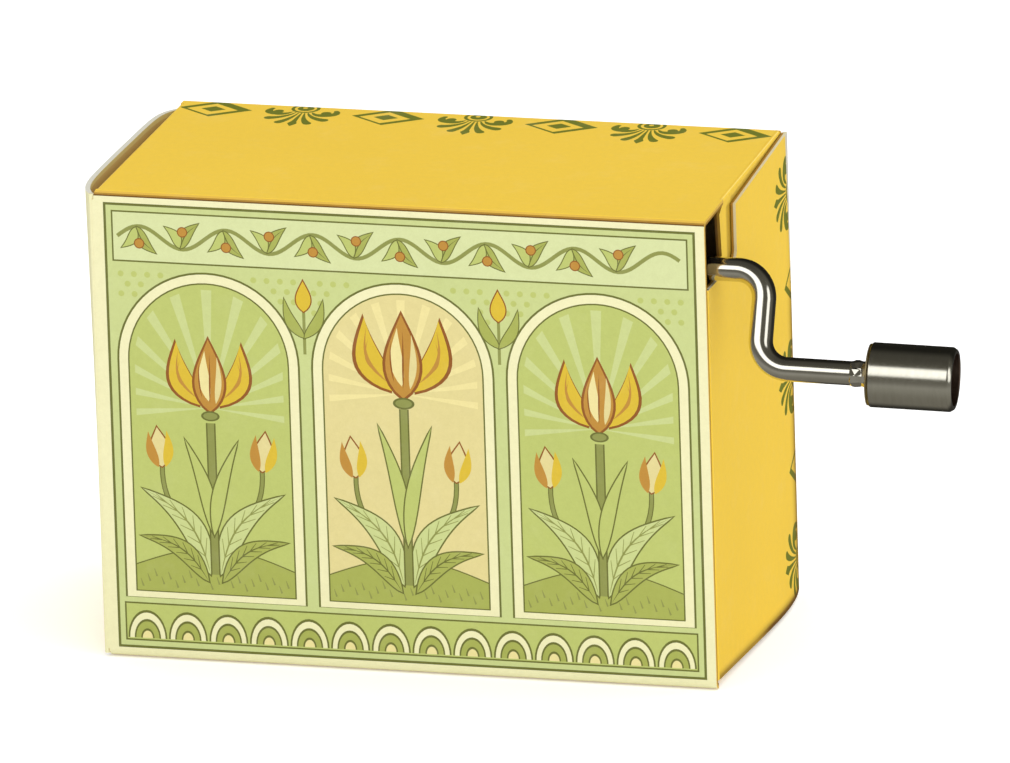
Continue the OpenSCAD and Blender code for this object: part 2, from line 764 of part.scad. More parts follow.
carton_sleeve();
glue_flap();
left_end_panel();
left_tuck_flap();
left_upper_dust_flap();
left_lower_dust_flap();
right_end_panel();
right_tuck_flap();
right_upper_dust_flap();
right_lower_dust_flap();
bedplate();
adhesive_pads();
comb();
comb_tuning_weights();
comb_screws();
shaft_outer_bush();
shaft_inner_bush();
arbor_upper_bush();
arbor_lower_bush();
crank_rod();
worm();
worm_pin();
shaft_clip();
knob_washer();
knob_rim_washer();
crank_knob();
drum_shell();
drum_pins();
drum_gear();
drum_end_cap();
drum_arbor();
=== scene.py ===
import bpy
import bmesh
import json
import math
from mathutils import Matrix, Vector
from mathutils.geometry import delaunay_2d_cdt


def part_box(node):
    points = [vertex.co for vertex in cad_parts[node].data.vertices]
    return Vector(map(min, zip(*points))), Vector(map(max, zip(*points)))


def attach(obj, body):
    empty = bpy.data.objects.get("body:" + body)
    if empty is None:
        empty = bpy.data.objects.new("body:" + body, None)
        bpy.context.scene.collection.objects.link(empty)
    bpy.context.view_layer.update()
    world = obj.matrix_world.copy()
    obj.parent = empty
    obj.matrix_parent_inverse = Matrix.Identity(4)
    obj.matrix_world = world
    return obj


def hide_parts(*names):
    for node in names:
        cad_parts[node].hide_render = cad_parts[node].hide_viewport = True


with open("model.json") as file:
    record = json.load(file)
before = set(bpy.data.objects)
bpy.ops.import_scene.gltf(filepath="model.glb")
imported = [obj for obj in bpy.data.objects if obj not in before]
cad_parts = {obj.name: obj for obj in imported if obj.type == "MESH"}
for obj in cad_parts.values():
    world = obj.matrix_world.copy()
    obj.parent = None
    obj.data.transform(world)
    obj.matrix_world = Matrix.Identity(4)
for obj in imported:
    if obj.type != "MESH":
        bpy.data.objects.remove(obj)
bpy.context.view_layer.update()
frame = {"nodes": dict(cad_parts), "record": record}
nodes = frame["nodes"]
mm = 0.001
scene = bpy.context.scene
print("frame loaded:", len(nodes), "nodes")

cameraView = dict(azimuth=15.884, elevation=17.256, roll=-1.765, distance=2000.0, focalPixels=21134.5,
                  imageWidth=1010, sensorWidth=36.0, clip=(0.05, 20.0), target=(5.832, 0.0, 24.381))


def addObject(name, data):
    obj = bpy.data.objects.new(name, data)
    scene.collection.objects.link(obj)
    return obj


def aimed(azimuth, elevation):
    # the direction from the object to a place, 0 in front and growing to the right
    az, el = math.radians(azimuth), math.radians(elevation)
    return Vector((math.sin(az) * math.cos(el), -math.cos(az) * math.cos(el), math.sin(el)))


def makeCamera(v):
    az, roll = math.radians(v["azimuth"]), math.radians(v["roll"])
    back = aimed(v["azimuth"], v["elevation"])
    right = Vector((math.cos(az), math.sin(az), 0))
    up = back.cross(right)
    tiltedRight = right * math.cos(roll) + up * math.sin(roll)
    tiltedUp = up * math.cos(roll) - right * math.sin(roll)
    data = bpy.data.cameras.new("photoCamera")
    data.sensor_width = v["sensorWidth"]
    data.lens = v["focalPixels"] / v["imageWidth"] * v["sensorWidth"]
    data.clip_start, data.clip_end = v["clip"]
    cam = addObject("photoCamera", data)
    place = (Vector(v["target"]) + back * v["distance"]) * mm
    turn = Matrix((tiltedRight, tiltedUp, back)).transposed().to_4x4()
    cam.matrix_world = Matrix.Translation(place) @ turn
    scene.camera = cam


makeCamera(cameraView)
scene.view_settings.view_transform = "Standard"
print("camera set")

# Printing inks and raw card, as a printer would name them; some also serve as painted shade, painted shadow and a
# painted highlight
inkHex = dict(yellow="F0C940", olive="737A20", cream="E6E2B4", pale="C2CB88", leaf="B6BF6C", mid="A3AA54",
              deep="8B904C", line="6A6D33", gold="D3B434", amber="B98838", brown="8E5623", peach="D9CC8E",
              sage="CFD69E", straw="E4D797", shade="DDB345", umber="A87E2B", dark="6E4C16", raw="CFB67C",
              cut="D8CFAE", foldHighlight="F6DB7C", worn="D6D4C6", soot="231F1A")


def linear(hexCode):
    # from sRGB, as the hex codes are written, to the renderer's linear light
    parts = [int(hexCode[i:i + 2], 16) / 255 for i in (0, 2, 4)]
    return [v / 12.92 if v <= 0.04045 else ((v + 0.055) / 1.055) ** 2.4 for v in parts] + [1.0]


inks = {name: linear(code) for name, code in inkHex.items()}

# Flat drawing helpers, in millimetres
leafForm = dict(fattest=0.8, taper=0.25, firstVein=0.16, veinSpread=0.6, veinSlant=0.13, veinReach=0.78,
                veinWidth=(0.1, 0.06))


def around(n):
    return [2 * math.pi * i / n for i in range(n)]


def halfTurn(n):
    return [math.pi * i / n for i in range(n + 1)]


def circle(x, y, rad, n=28, squash=1.0):
    return [(x + rad * math.cos(a), y + rad * squash * math.sin(a)) for a in around(n)]


def box2(x0, y0, x1, y1):
    return [(x0, y0), (x1, y0), (x1, y1), (x0, y1)]


def bezier(p0, p1, p2, p3, n=14):
    pts = []
    for i in range(n + 1):
        t = i / n
        k = ((1 - t) ** 3, 3 * t * (1 - t) ** 2, 3 * t * t * (1 - t), t ** 3)
        pts.append(tuple(sum(w * p[j] for w, p in zip(k, (p0, p1, p2, p3))) for j in (0, 1)))
    return pts


def ribbon(path, wide, thin=None):
    # a stroke along a path, from its wide end to its thin end
    thin = wide if thin is None else thin
    left, right = [], []
    for i, p in enumerate(path):
        q0, q1 = path[max(i - 1, 0)], path[min(i + 1, len(path) - 1)]
        dx, dy = q1[0] - q0[0], q1[1] - q0[1]
        length = math.hypot(dx, dy) or 1
        w = (wide + (thin - wide) * i / (len(path) - 1)) / 2
        left.append((p[0] - dy / length * w, p[1] + dx / length * w))
        right.append((p[0] + dy / length * w, p[1] - dx / length * w))
    return right + left[::-1]


def leafHalf(fat, t):
    return fat * math.sin(math.pi * t ** leafForm["fattest"]) * (1 - leafForm["taper"] * t)


def leafSpine(base, tip, bend):
    # places a share along a leaf and a distance beside its bowed middle
    bx, by = tip[0] - base[0], tip[1] - base[1]
    length = math.hypot(bx, by)
    nx, ny = -by / length, bx / length

    def at(t, beside):
        off = bend * math.sin(math.pi * t) + beside
        return base[0] + bx * t + nx * off, base[1] + by * t + ny * off
    return at


def leafShape(base, tip, bend, fat, n=12):
    # a pointed leaf from base to tip, bowed sideways by bend
    at = leafSpine(base, tip, bend)
    left, right = ([at(i / n, sign * leafHalf(fat, i / n)) for i in range(n + 1)] for sign in (1, -1))
    return right + left[-2:0:-1]


def leafVeins(base, tip, bend, fat, count=6):
    # side veins that run from a leaf's middle towards its edge
    at = leafSpine(base, tip, bend)
    veins = []
    for i in range(count):
        t0 = leafForm["firstVein"] + leafForm["veinSpread"] * i / (count - 1)
        t1 = t0 + leafForm["veinSlant"]
        half = leafHalf(fat, t1) * leafForm["veinReach"]
        veins += [ribbon([at(t0, 0), at(t1, sign * half)], *leafForm["veinWidth"]) for sign in (-1, 1)]
    return veins


def finger(path, thin, wide, tipSteps=8):
    # a leaf that widens along its path to a round tip
    body, n, rad = ribbon(path, thin, wide), len(path), wide / 2
    (x0, y0), (x1, y1) = path[-2], path[-1]
    turn = math.atan2(y1 - y0, x1 - x0) - math.pi / 2
    tip = [(x1 + rad * math.cos(turn + a), y1 + rad * math.sin(turn + a)) for a in halfTurn(tipSteps)[1:-1]]
    return body[:n] + tip + body[n:]


def area(pts):
    return sum(a[0] * b[1] - b[0] * a[1] for a, b in zip(pts, pts[1:] + pts[:1])) / 2


def wound(pts):
    return pts if area(pts) > 0 else pts[::-1]  # anticlockwise


def grow(pts, d, sharpest=0.35, longest=2.2):
    # moves an outline outwards by d, and cuts its sharp corners short
    pts = wound(pts)
    out = []
    for i, p in enumerate(pts):
        a, b = pts[i - 1], pts[(i + 1) % len(pts)]
        n1 = Vector((p[1] - a[1], a[0] - p[0])).normalized()
        n2 = Vector((b[1] - p[1], p[0] - b[0])).normalized()
        m = n1 + n2
        if m.length > 1e-6:
            m.normalize()
            m *= min(d / max(m.dot(n1), sharpest), longest * d)
        else:
            m = n1 * d
        out.append((p[0] + m.x, p[1] + m.y))
    return out


def edged(ink, shape, line="line", width=0.14):
    return [(line, grow(shape, width)), (ink, shape)]


def moved(pts, x, y, turn=0.0):
    cos, sin = math.cos(math.radians(turn)), math.sin(math.radians(turn))
    return [(x + cos * px - sin * py, y + sin * px + cos * py) for px, py in pts]


# The border's two motifs, drawn from their root edge at y = 0 towards +y
diamondSize = dict(half=3.6, tip=4.0, rise=2.6, upright=0.8,  # upright: how far in a turned one stands
                   rhombs=[("olive", 1.0, 0.0, 0.0), ("yellow", 0.7, -0.28, 0.2), ("olive", 0.34, -0.2, 0.1)])
palmetteSize = dict(setBack=0.6, stem=([(0, 2.0), (0, 4.8), (0, 5.45)], 0.12, 0.92),
                    tipLeaf=((0, 4.9), (0, 6.4), 0, 0.44), knuckle=(2.35, 1.75, 0.5, 16),
                    # fingers of one half: a curve's four points, then its width at the root and at the tip
                    fingers=[(((0.3, 2.0), (0.5, 3.5), (0.85, 4.5), (1.42, 5.25)), 0.1, 0.86),
                             (((0.6, 1.9), (0.95, 3.0), (1.75, 3.8), (2.7, 4.0)), 0.12, 0.96),
                             (((0.95, 1.7), (1.3, 2.4), (1.8, 2.75), (2.5, 2.3)), 0.12, 1.2),
                             (((2.5, 2.35), (3.3, 2.3), (3.5, 1.6), (3.15, 1.0)), 1.1, 0.5)],
                    eye=[("olive", (0, 0.55, 1.4, 28)), ("yellow", (0, 0.55, 1.064, 26)),
                         ("olive", (0, 0.5, 0.812, 22)), ("yellow", (-0.1, 0.35, 0.24, 12))])


def diamondMotif(d=diamondSize):
    w, up, mid = d["half"], d["rise"], d["tip"] - d["rise"]
    return [(ink, [(dx - w * k, mid + dy), (dx, mid - up * k + dy), (dx + w * k, mid + dy), (dx, mid + up * k + dy)])
            for ink, k, dx, dy in d["rhombs"]]


def palmetteMotif(p=palmetteSize):
    parts = [("olive", finger(*p["stem"])), ("olive", leafShape(*p["tipLeaf"]))]
    x, y, rad, sides = p["knuckle"]
    for s in (-1, 1):
        for curve, thin, wide in p["fingers"]:
            parts.append(("olive", finger(bezier(*[(s * px, py) for px, py in curve]), thin, wide)))
        parts.append(("olive", circle(s * x, y, rad, sides)))
    parts += [(ink, circle(*ring)) for ink, ring in p["eye"]]
    return [(ink, moved(shape, 0, -p["setBack"])) for ink, shape in parts]


def borderStrip(count, pitch, first, place, upright=False):
    # motifs in turn along a border, each placed by its distance along it
    out = []
    for i in range(count):
        isDiamond = (i + first) % 2 == 0
        motif = diamondMotif() if isDiamond else palmetteMotif()
        if isDiamond and upright:
            d = diamondSize
            mid = d["tip"] - d["rise"]
            motif = [(ink, [(py - mid, -px - d["upright"]) for px, py in shape]) for ink, shape in motif]
        out += [(ink, place(shape, (i - (count - 1) / 2) * pitch)) for ink, shape in motif]
    return out


# Card sheets: one printed face, one raw face and a cut rim, from a flat drawing
carton = dict(width=60.0, depth=31.0, height=46.0, card=0.5, creaseRadius=0.8, flapGap=0.1, creaseGap=0.05,
              creaseSteps=6, seam=0.03, lip=0.09, lipSlant=0.55, rimSplit=0.55,
              panelInset=0.3, panelTaper=2.0, panelFoot=0.4, dustLength=13.0, dustTaper=1.5, dustSide=0.35,
              tuckLength=6.5, tuckGap=0.4, tuckCrease=0.25, tuckCorner=2.0,
              notchWidth=11.5, slotGap=3.1, notchClear=0.3, notchRadius=1.0, notchSteps=6,
              rodAcross=2.3, shaftDrop=5.5, shaftFromFront=3.4,
              panelBow=1.5, bowLift=0.8, hingeSpring=0.07, tuckSpring=0.05, bowSteps=30,
              footBow=0.86, footPeak=0.582, footPower=5, footReach=7.0,
              ridgeFront=0.45, ridgeBack=0.05, cornerFront=30.0, cornerSlot=29.86, cornerHinge=29.5,
              rollSides=24, frontTurn=0.7, glintTurn=0.97)


class Sheet:
    def __init__(self, name):
        self.name, self.verts, self.faces, self.colours, self.normals = name, [], [], [], []
        self.weld = {}  # corners of the shell being made, by place

    def corner(self, p):
        key = tuple(round(v, 4) for v in p)
        if key not in self.weld:
            self.weld[key] = len(self.verts)
            self.verts.append(Vector(p) * mm)
        return self.weld[key]

    def add(self, pts, ink, normals=None, shadeAt=None):
        face = [self.corner(p) for p in pts]
        if len(set(face)) < len(face):
            return  # a sliver with no area
        self.faces.append(face)
        tone, shadeTone = inks[ink], inks["dark"]
        # a painted shade, where given, mixes each corner's ink towards dark
        self.colours.append([[a + (b - a) * k for a, b in zip(tone, shadeTone)] for k in shadeAt or [0] * len(pts)])
        if normals is None:
            a, b, c = (Vector(p) for p in pts[:3])
            normals = [(b - a).cross(c - a).normalized()] * len(pts)
        self.normals.append(normals)

    def flat(self, outline, art, place, guides=(), baseInk="yellow", backInk=lambda x, y: "raw", shadeAt=None,
             rimInks=("cut", "umber")):
        # splits the outline by every ink shape, the last shape on top, and gives it the card's thickness
        thick, split = carton["card"], carton["rimSplit"]
        self.weld = {}
        coords, loops, edges = [], [], []
        for shape in [outline] + [s for _, s in art]:
            loops.append(list(range(len(coords), len(coords) + len(shape))))
            coords += [Vector(p) for p in wound(shape)]
        for a, b in guides:
            edges.append((len(coords), len(coords) + 1))
            coords += [Vector(a), Vector(b)]
        spots, _, faces, _, _, sources = delaunay_2d_cdt(coords, edges, loops, 1, 1e-5)
        rim = {}
        for face, source in zip(faces, sources):
            if 0 not in source:
                continue  # outside the outline
            face = face if area([spots[i] for i in face]) >= 0 else face[::-1]
            pts = [(spots[i].x, spots[i].y) for i in face]
            ink = art[max(source) - 1][0] if max(source) else baseInk
            behind = backInk(*(sum(row) / len(pts) for row in zip(*pts)))
            front = [place(x, y, 0) for x, y in pts]
            back = [place(x, y, thick) for x, y in pts[::-1]]
            self.add([at for at, _ in front], ink, [n for _, n in front], shadeAt and [shadeAt(x, y) for x, y in pts])
            self.add([at for at, _ in back], behind, [-n for _, n in back])
            for i, k in zip(face, face[1:] + face[:1]):
                if not rim.pop((k, i), False):
                    rim[(i, k)] = True
        for i, k in rim:
            a0, a1, b0, b1 = (place(spots[j].x, spots[j].y, d)[0] for j in (i, k) for d in (0, thick))
            am, bm = a0.lerp(a1, split), b0.lerp(b1, split)
            self.add([b0, a0, am, bm], rimInks[0])
            self.add([bm, am, a1, b1], rimInks[1])

    def roll(self, stops, tones=("yellow",), frontInk=None, glint=None):
        # a round crease through its stops, with an ink for each stretch
        self.weld = {}
        n, rad = carton["rollSides"], carton["card"] / 2
        stops = [Vector(p) for p in stops]
        axis = (stops[-1] - stops[0]).normalized()
        side = axis.orthogonal().normalized()
        other = axis.cross(side)
        dirs = [side * math.cos(a) + other * math.sin(a) for a in (2 * math.pi * (i + 0.5) / n for i in range(n))]
        for a, b, ink in zip(stops, stops[1:], tones):
            for d0, d1 in zip(dirs, dirs[1:] + dirs[:1]):
                facing = frontInk if frontInk and (d0 + d1).y < -carton["frontTurn"] else ink
                # facets that face the glint direction get a painted highlight
                if glint and (d0 + d1).normalized().dot(Vector(glint).normalized()) > carton["glintTurn"]:
                    facing = "foldHighlight"
                self.add([a + d0 * rad, a + d1 * rad, b + d1 * rad, b + d0 * rad], facing, [d0, d1, d1, d0])
        self.add([stops[0] + d * rad for d in dirs[::-1]], "cut")
        self.add([stops[-1] + d * rad for d in dirs], "cut")

    def make(self, material):
        mesh = bpy.data.meshes.new(self.name)
        mesh.from_pydata(self.verts, [], self.faces)
        layer = mesh.color_attributes.new("ink", "FLOAT_COLOR", "CORNER")
        layer.data.foreach_set("color", [v for corners in self.colours for tone in corners for v in tone])
        mesh.polygons.foreach_set("use_smooth", [True] * len(mesh.polygons))
        mesh.normals_split_custom_set([tuple(n) for row in self.normals for n in row])
        mesh.materials.append(material)
        return addObject(self.name, mesh)


# Shader groups that several finishes share
fibreLook = dict(fineDetail=2.0, softDetail=4.0, softRough=0.65, softShare=0.7, wideScale=60.0, wideDetail=2.0,
                 wideShare=0.3)
scuffLook = dict(detail=6.0, rough=0.7, least=0.52, gain=4.0, fineScale=7.0, fineDetail=2.0)


def feed(tree, value, socket):
    # a socket takes another node's output or a plain value
    if isinstance(value, bpy.types.NodeSocket):
        tree.links.new(value, socket)
    else:
        socket.default_value = value


def newNode(tree, kind, **settings):
    n = tree.nodes.new(kind)
    for key, value in settings.items():
        setattr(n, key, value)
    return n


def newGroup(name, inputs, outputs):
    group = bpy.data.node_groups.new(name, "ShaderNodeTree")
    group.interface.new_socket("Vector", in_out="INPUT", socket_type="NodeSocketVector")
    for label, value in inputs:
        sock = group.interface.new_socket(label, in_out="INPUT", socket_type="NodeSocketFloat")
        sock.default_value = value
    for label in outputs:
        group.interface.new_socket(label, in_out="OUTPUT", socket_type="NodeSocketFloat")
    return group, group.nodes.new("NodeGroupInput").outputs, group.nodes.new("NodeGroupOutput").inputs


def mathNode(tree, op, a, b=None, c=None, clamp=False):
    n = newNode(tree, "ShaderNodeMath", operation=op, use_clamp=clamp)
    for value, socket in zip((a, b, c), n.inputs):
        if value is not None:
            feed(tree, value, socket)
    return n.outputs[0]


def noiseNode(tree, vector, scale, detail=3.0, rough=0.55):
    n = tree.nodes.new("ShaderNodeTexNoise")
    for label, value in (("Vector", vector), ("Scale", scale), ("Detail", detail), ("Roughness", rough)):
        feed(tree, value, n.inputs[label])
    return n.outputs[0]


def fibreGroup(k=fibreLook):
    # paper fibre and ink mottle
    g, given, out = newGroup("fibreAndMottle", [("Fibre Scale", 6000.0), ("Mottle Scale", 900.0)], ("Fibre", "Mottle"))
    where, fibreScale, mottleScale = given[0], given[1], given[2]
    soft = noiseNode(g, where, mottleScale, k["softDetail"], k["softRough"])
    wide = noiseNode(g, where, k["wideScale"], k["wideDetail"])
    feed(g, noiseNode(g, where, fibreScale, k["fineDetail"]), out[0])
    feed(g, mathNode(g, "ADD", mathNode(g, "MULTIPLY", soft, k["softShare"]),
                     mathNode(g, "MULTIPLY", wide, k["wideShare"])), out[1])
    return g


def scuffGroup(k=scuffLook):
    # fine scuffs and handling marks
    g, given, out = newGroup("scuffs", [("Scale", 400.0), ("Amount", 0.5)], ("Mask", "Height"))
    where, scale, amount = given[0], given[1], given[2]
    marks = mathNode(g, "SUBTRACT", noiseNode(g, where, scale, k["detail"], k["rough"]), k["least"], clamp=True)
    feed(g, mathNode(g, "MULTIPLY", mathNode(g, "MULTIPLY", marks, k["gain"], clamp=True), amount), out[0])
    feed(g, noiseNode(g, where, mathNode(g, "MULTIPLY", scale, k["fineScale"]), k["fineDetail"]), out[1])
    return g


fibre, scuffs = fibreGroup(), scuffGroup()


def newMaterial(name):
    mat = bpy.data.materials.new(name)
    mat.use_nodes = True
    tree = mat.node_tree
    return mat, tree, tree.nodes["Principled BSDF"], tree.nodes.new("ShaderNodeTexCoord").outputs["Object"]


def useGroup(tree, group, vector, **values):
    n = newNode(tree, "ShaderNodeGroup", node_tree=group)
    feed(tree, vector, n.inputs["Vector"])
    for key, value in values.items():
        feed(tree, value, n.inputs[key.replace("_", " ")])
    return n.outputs


def bumpOn(tree, bsdf, height, strength, distance):
    n = tree.nodes.new("ShaderNodeBump")
    for label, value in (("Height", height), ("Strength", strength), ("Distance", distance)):
        feed(tree, value, n.inputs[label])
    feed(tree, n.outputs[0], bsdf.inputs["Normal"])


def ramp(tree, fac, stops):
    n = tree.nodes.new("ShaderNodeValToRGB")
    elements = n.color_ramp.elements
    while len(elements) < len(stops):
        elements.new(0.5)
    for e, (pos, colour) in zip(elements, stops):
        e.position, e.color = pos, (*colour, 1)
    feed(tree, fac, n.inputs[0])
    return n.outputs[0]


def tint(tree, a, b, mode, fac):
    n = newNode(tree, "ShaderNodeMix", data_type="RGBA", blend_type=mode)
    for label, value in (("Factor", fac), ("A", a), ("B", b)):
        feed(tree, value, n.inputs[label])
    return n.outputs["Result"]


cardLook = dict(fibreScale=7000.0, fibreTones=[(0.25, (0.965, 0.96, 0.95)), (0.75, (1.02, 1.02, 1.02))], fibreShare=0.8,
                mottleScale=1500.0, mottleTones=[(0.3, (0.96, 0.957, 0.945)), (0.7, (1.02, 1.02, 1.025))],
                scuffScale=260.0, scuffAmount=0.35, scuffTone=(0.93, 0.88, 0.74, 1), scuffShare=0.12,
                rough=0.46, roughSpread=0.16, specular=0.2, bump=0.12, bumpDepth=0.00004)
padLook = dict(fibreScale=3000.0, mottleScale=800.0, tones=[(0.3, (0.72, 0.71, 0.66)), (0.7, (0.84, 0.83, 0.78))],
               rough=0.8, bump=0.3, bumpDepth=0.0001)
metalLook = dict(scuffAmount=0.8, mottle=0.4, mottleDetail=4.0, mottleRough=0.6, darkAt=0.3, brightAt=0.75,
                 bumpDepth=0.00003)


def printedCardFinish(k=cardLook):
    mat, tree, bsdf, where = newMaterial("printedCard")
    printed = newNode(tree, "ShaderNodeAttribute", attribute_name="ink").outputs["Color"]
    fine, mottle = useGroup(tree, fibre, where, Fibre_Scale=k["fibreScale"], Mottle_Scale=k["mottleScale"])
    mask, _ = useGroup(tree, scuffs, where, Scale=k["scuffScale"], Amount=k["scuffAmount"])
    colour = tint(tree, printed, ramp(tree, mottle, k["mottleTones"]), "MULTIPLY", 1.0)
    colour = tint(tree, colour, ramp(tree, fine, k["fibreTones"]), "MULTIPLY", k["fibreShare"])
    colour = tint(tree, colour, k["scuffTone"], "MIX", mathNode(tree, "MULTIPLY", mask, k["scuffShare"]))
    rough = mathNode(tree, "ADD", k["rough"], mathNode(tree, "MULTIPLY", mottle, k["roughSpread"]))
    for label, value in (("Base Color", colour), ("Roughness", rough), ("Specular IOR Level", k["specular"])):
        feed(tree, value, bsdf.inputs[label])
    bumpOn(tree, bsdf, fine, k["bump"], k["bumpDepth"])
    return mat


def padFinish(k=padLook):
    mat, tree, bsdf, where = newMaterial("adhesiveFoam")
    fine, mottle = useGroup(tree, fibre, where, Fibre_Scale=k["fibreScale"], Mottle_Scale=k["mottleScale"])
    feed(tree, ramp(tree, mottle, k["tones"]), bsdf.inputs["Base Color"])
    feed(tree, k["rough"], bsdf.inputs["Roughness"])
    bumpOn(tree, bsdf, fine, k["bump"], k["bumpDepth"])
    return mat


def metalFinish(name, colour, dark, rough, roughSpread, scuffScale, bump, stretch=(1, 1, 1)):
    k = metalLook
    mat, tree, bsdf, where = newMaterial(name)
    mapping = tree.nodes.new("ShaderNodeMapping")
    feed(tree, stretch, mapping.inputs["Scale"])
    feed(tree, where, mapping.inputs["Vector"])
    mask, height = useGroup(tree, scuffs, mapping.outputs[0], Scale=scuffScale, Amount=k["scuffAmount"])
    mottle = noiseNode(tree, mapping.outputs[0], scuffScale * k["mottle"], k["mottleDetail"], k["mottleRough"])
    feed(tree, ramp(tree, mottle, [(k["darkAt"], dark), (k["brightAt"], colour)]), bsdf.inputs["Base Color"])
    feed(tree, 1.0, bsdf.inputs["Metallic"])
    worn = mathNode(tree, "ADD", rough, mathNode(tree, "MULTIPLY", mask, roughSpread))
    feed(tree, worn, bsdf.inputs["Roughness"])
    bumpOn(tree, bsdf, height, bump, k["bumpDepth"])
    return mat


# Metals: bright and dark tone, roughness and what scuffs add to it, scuff scale, bump, and a brushed one's stretch
metals = dict(
    nickel=("nickelPlate", (0.79, 0.765, 0.68), (0.69, 0.665, 0.585), 0.11, 0.12, 900.0, 0.04),
    # the rod's part inside the carton is painted near black, a painted shade
    oiled=("shadedShaft", (0.035, 0.033, 0.03), (0.02, 0.019, 0.018), 0.45, 0.2, 900.0, 0.05),
    bronzed=("bronzedRim", (0.62, 0.52, 0.3), (0.48, 0.38, 0.2), 0.62, 0.2, 900.0, 0.05),
    brass=("turnedBrass", (0.83, 0.62, 0.28), (0.66, 0.46, 0.18), 0.26, 0.2, 900.0, 0.1),
    steel=("drawnSteel", (0.56, 0.57, 0.58), (0.42, 0.42, 0.43), 0.28, 0.22, 1200.0, 0.1),
    comb_steel=("groundSteel", (0.62, 0.62, 0.62), (0.48, 0.48, 0.5), 0.3, 0.2, 700.0, 0.12, (1, 1, 9)),
    zinc=("castZinc", (0.58, 0.58, 0.59), (0.42, 0.42, 0.44), 0.42, 0.25, 600.0, 0.2),
    lead=("dullLead", (0.3, 0.31, 0.33), (0.2, 0.2, 0.22), 0.55, 0.25, 700.0, 0.25),
    knobNickel=("brushedNickel", (0.71, 0.69, 0.605), (0.65, 0.63, 0.545), 0.16, 0.12, 1500.0, 0.05, (6, 1, 1)),
    # the knob's inner end is brown, a painted reflection of the yellow card
    knobEnd=("cardReflectionChamfer", (0.2, 0.17, 0.115), (0.15, 0.125, 0.08), 0.4, 0.2, 900.0, 0.05),
    tarnish=("tarnishedRecess", (0.56, 0.43, 0.35), (0.28, 0.2, 0.16), 0.36, 0.2, 500.0, 0.15))
finishes = {slotName: metalFinish(*look) for slotName, look in metals.items()}
finishes["adhesive"] = padFinish()
cardFinish = printedCardFinish()
slotOf = {s["node"]: s["material_slot"] for s in frame["record"]["subparts"]}
for nodeName, obj in nodes.items():
    if slotOf[nodeName] in finishes:
        obj.data.materials.clear()
        obj.data.materials.append(finishes["bronzed" if nodeName == "knob_rim_washer" else slotOf[nodeName]])
print("finishes ready")


def standIn(piece, body, nodeName):
    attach(piece, body)
    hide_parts(nodeName)


# Carton sleeve, drawn flat as one sheet and bent round its four creases
c = carton
fold, halfDeep, tall, halfCard = c["creaseRadius"], c["depth"] / 2, c["height"], c["card"] / 2
arc = math.pi / 2 * fold
flatDeep, flatTall = c["depth"] - 2 * fold, tall - 2 * fold
endX = c["width"] / 2
panelX = endX - halfCard
dustX = panelX - c["card"] - c["flapGap"]
hingeStop = panelX - halfCard - c["creaseGap"]
cornerX = dustX + halfCard
wallLip, hingeLip = dustX - c["lip"], panelX - c["lip"]
hingeY = halfDeep - halfCard
tuckY = -halfDeep + c["card"] * 1.5 + c["tuckGap"]
panelMid, panelHalf = (hingeY + tuckY) / 2, (hingeY - tuckY) / 2
notchY = -halfDeep + c["notchWidth"]
notchZ = tall - c["shaftDrop"] - c["rodAcross"] / 2 - c["notchClear"]
panelZ0, panelZ1 = c["panelInset"], tall - c["panelInset"]
tuckZ0, tuckZ1 = panelZ0 + c["panelFoot"], panelZ1 - c["panelTaper"]
leftTuckZ1 = panelZ1 - c["panelFoot"]
dustZ = tall - halfCard
dustY0 = tuckY + halfCard + c["dustSide"]
dustY1 = hingeY - halfCard - c["dustSide"]
slotY = -halfDeep + c["shaftFromFront"] + c["rodAcross"] / 2 + c["slotGap"]
# v runs round the flat sheet: bottom, front, top, back
vFront0 = flatDeep + arc
vFront1 = vFront0 + flatTall
vTop0 = vFront1 + arc
vTop1 = vTop0 + flatDeep
vBack0 = vTop1 + arc
vBack1 = vBack0 + flatTall
vEnd = vBack1 + arc
slotCut = vTop0 + slotY - c["flapGap"] + halfDeep - fold  # where the top wall steps back for its right dust flap
# each wall's first v and length, then its start, run and outer side in y and z
wallRuns = [(0, flatDeep, (halfDeep - fold, 0), (-1, 0), (0, -1)),
            (vFront0, flatTall, (-halfDeep, fold), (0, 1), (-1, 0)),
            (vTop0, flatDeep, (fold - halfDeep, tall), (1, 0), (0, 1)),
            (vBack0, flatTall, (halfDeep, tall - fold), (0, -1), (1, 0))]
# each crease's first v, its axis in y and z, and the angle it starts from
bends = [(flatDeep, (fold - halfDeep, fold), -90), (vFront1, (fold - halfDeep, tall - fold), 180),
         (vTop1, (halfDeep - fold, tall - fold), 90), (vBack1, (halfDeep - fold, fold), 0)]
hair, whisker = 1e-6, 1e-4  # how near counts as touching
past = 1  # how far a guide overshoots its sheet


def ridgeShift(y):
    # the right upper fold stands proud of its hinge line, most at the slot
    return c["ridgeFront"] + (c["ridgeBack"] - c["ridgeFront"]) * (y - slotY) / (dustY1 - slotY)


def lipAt(u, v):
    # how far the sleeve's outer skin reaches over a crease
    if vFront0 < v < vFront1 and u < 0 or vBack0 < v < vBack1 and u > 0:
        return hingeLip
    if u > 0 and slotCut - hair < v <= vTop1 + hair:
        return wallLip + ridgeShift(v - vTop0 - halfDeep + fold)
    return wallLip


def onSleeve(u, v, depth):
    v = min(max(v, 0.0), vEnd)
    if depth and abs(abs(u) - lipAt(u, v)) < whisker:
        u -= math.copysign(c["lipSlant"], u)  # the inner skin stops short of the crease
    for v0, length, start, along, out in wallRuns:
        if v0 - hair <= v <= v0 + length + hair:
            s = v - v0
            n = Vector((0, out[0], out[1]))
            return Vector((u, start[0] + along[0] * s, start[1] + along[1] * s)) - n * depth, n
    for v0, centre, angle in bends:
        if v0 <= v <= v0 + arc:
            a = math.radians(angle - (v - v0) / fold * 180 / math.pi)
            n = Vector((0, math.cos(a), math.sin(a)))
            return Vector((u, centre[0], centre[1])) + n * (fold - depth), n
    raise ValueError(v)


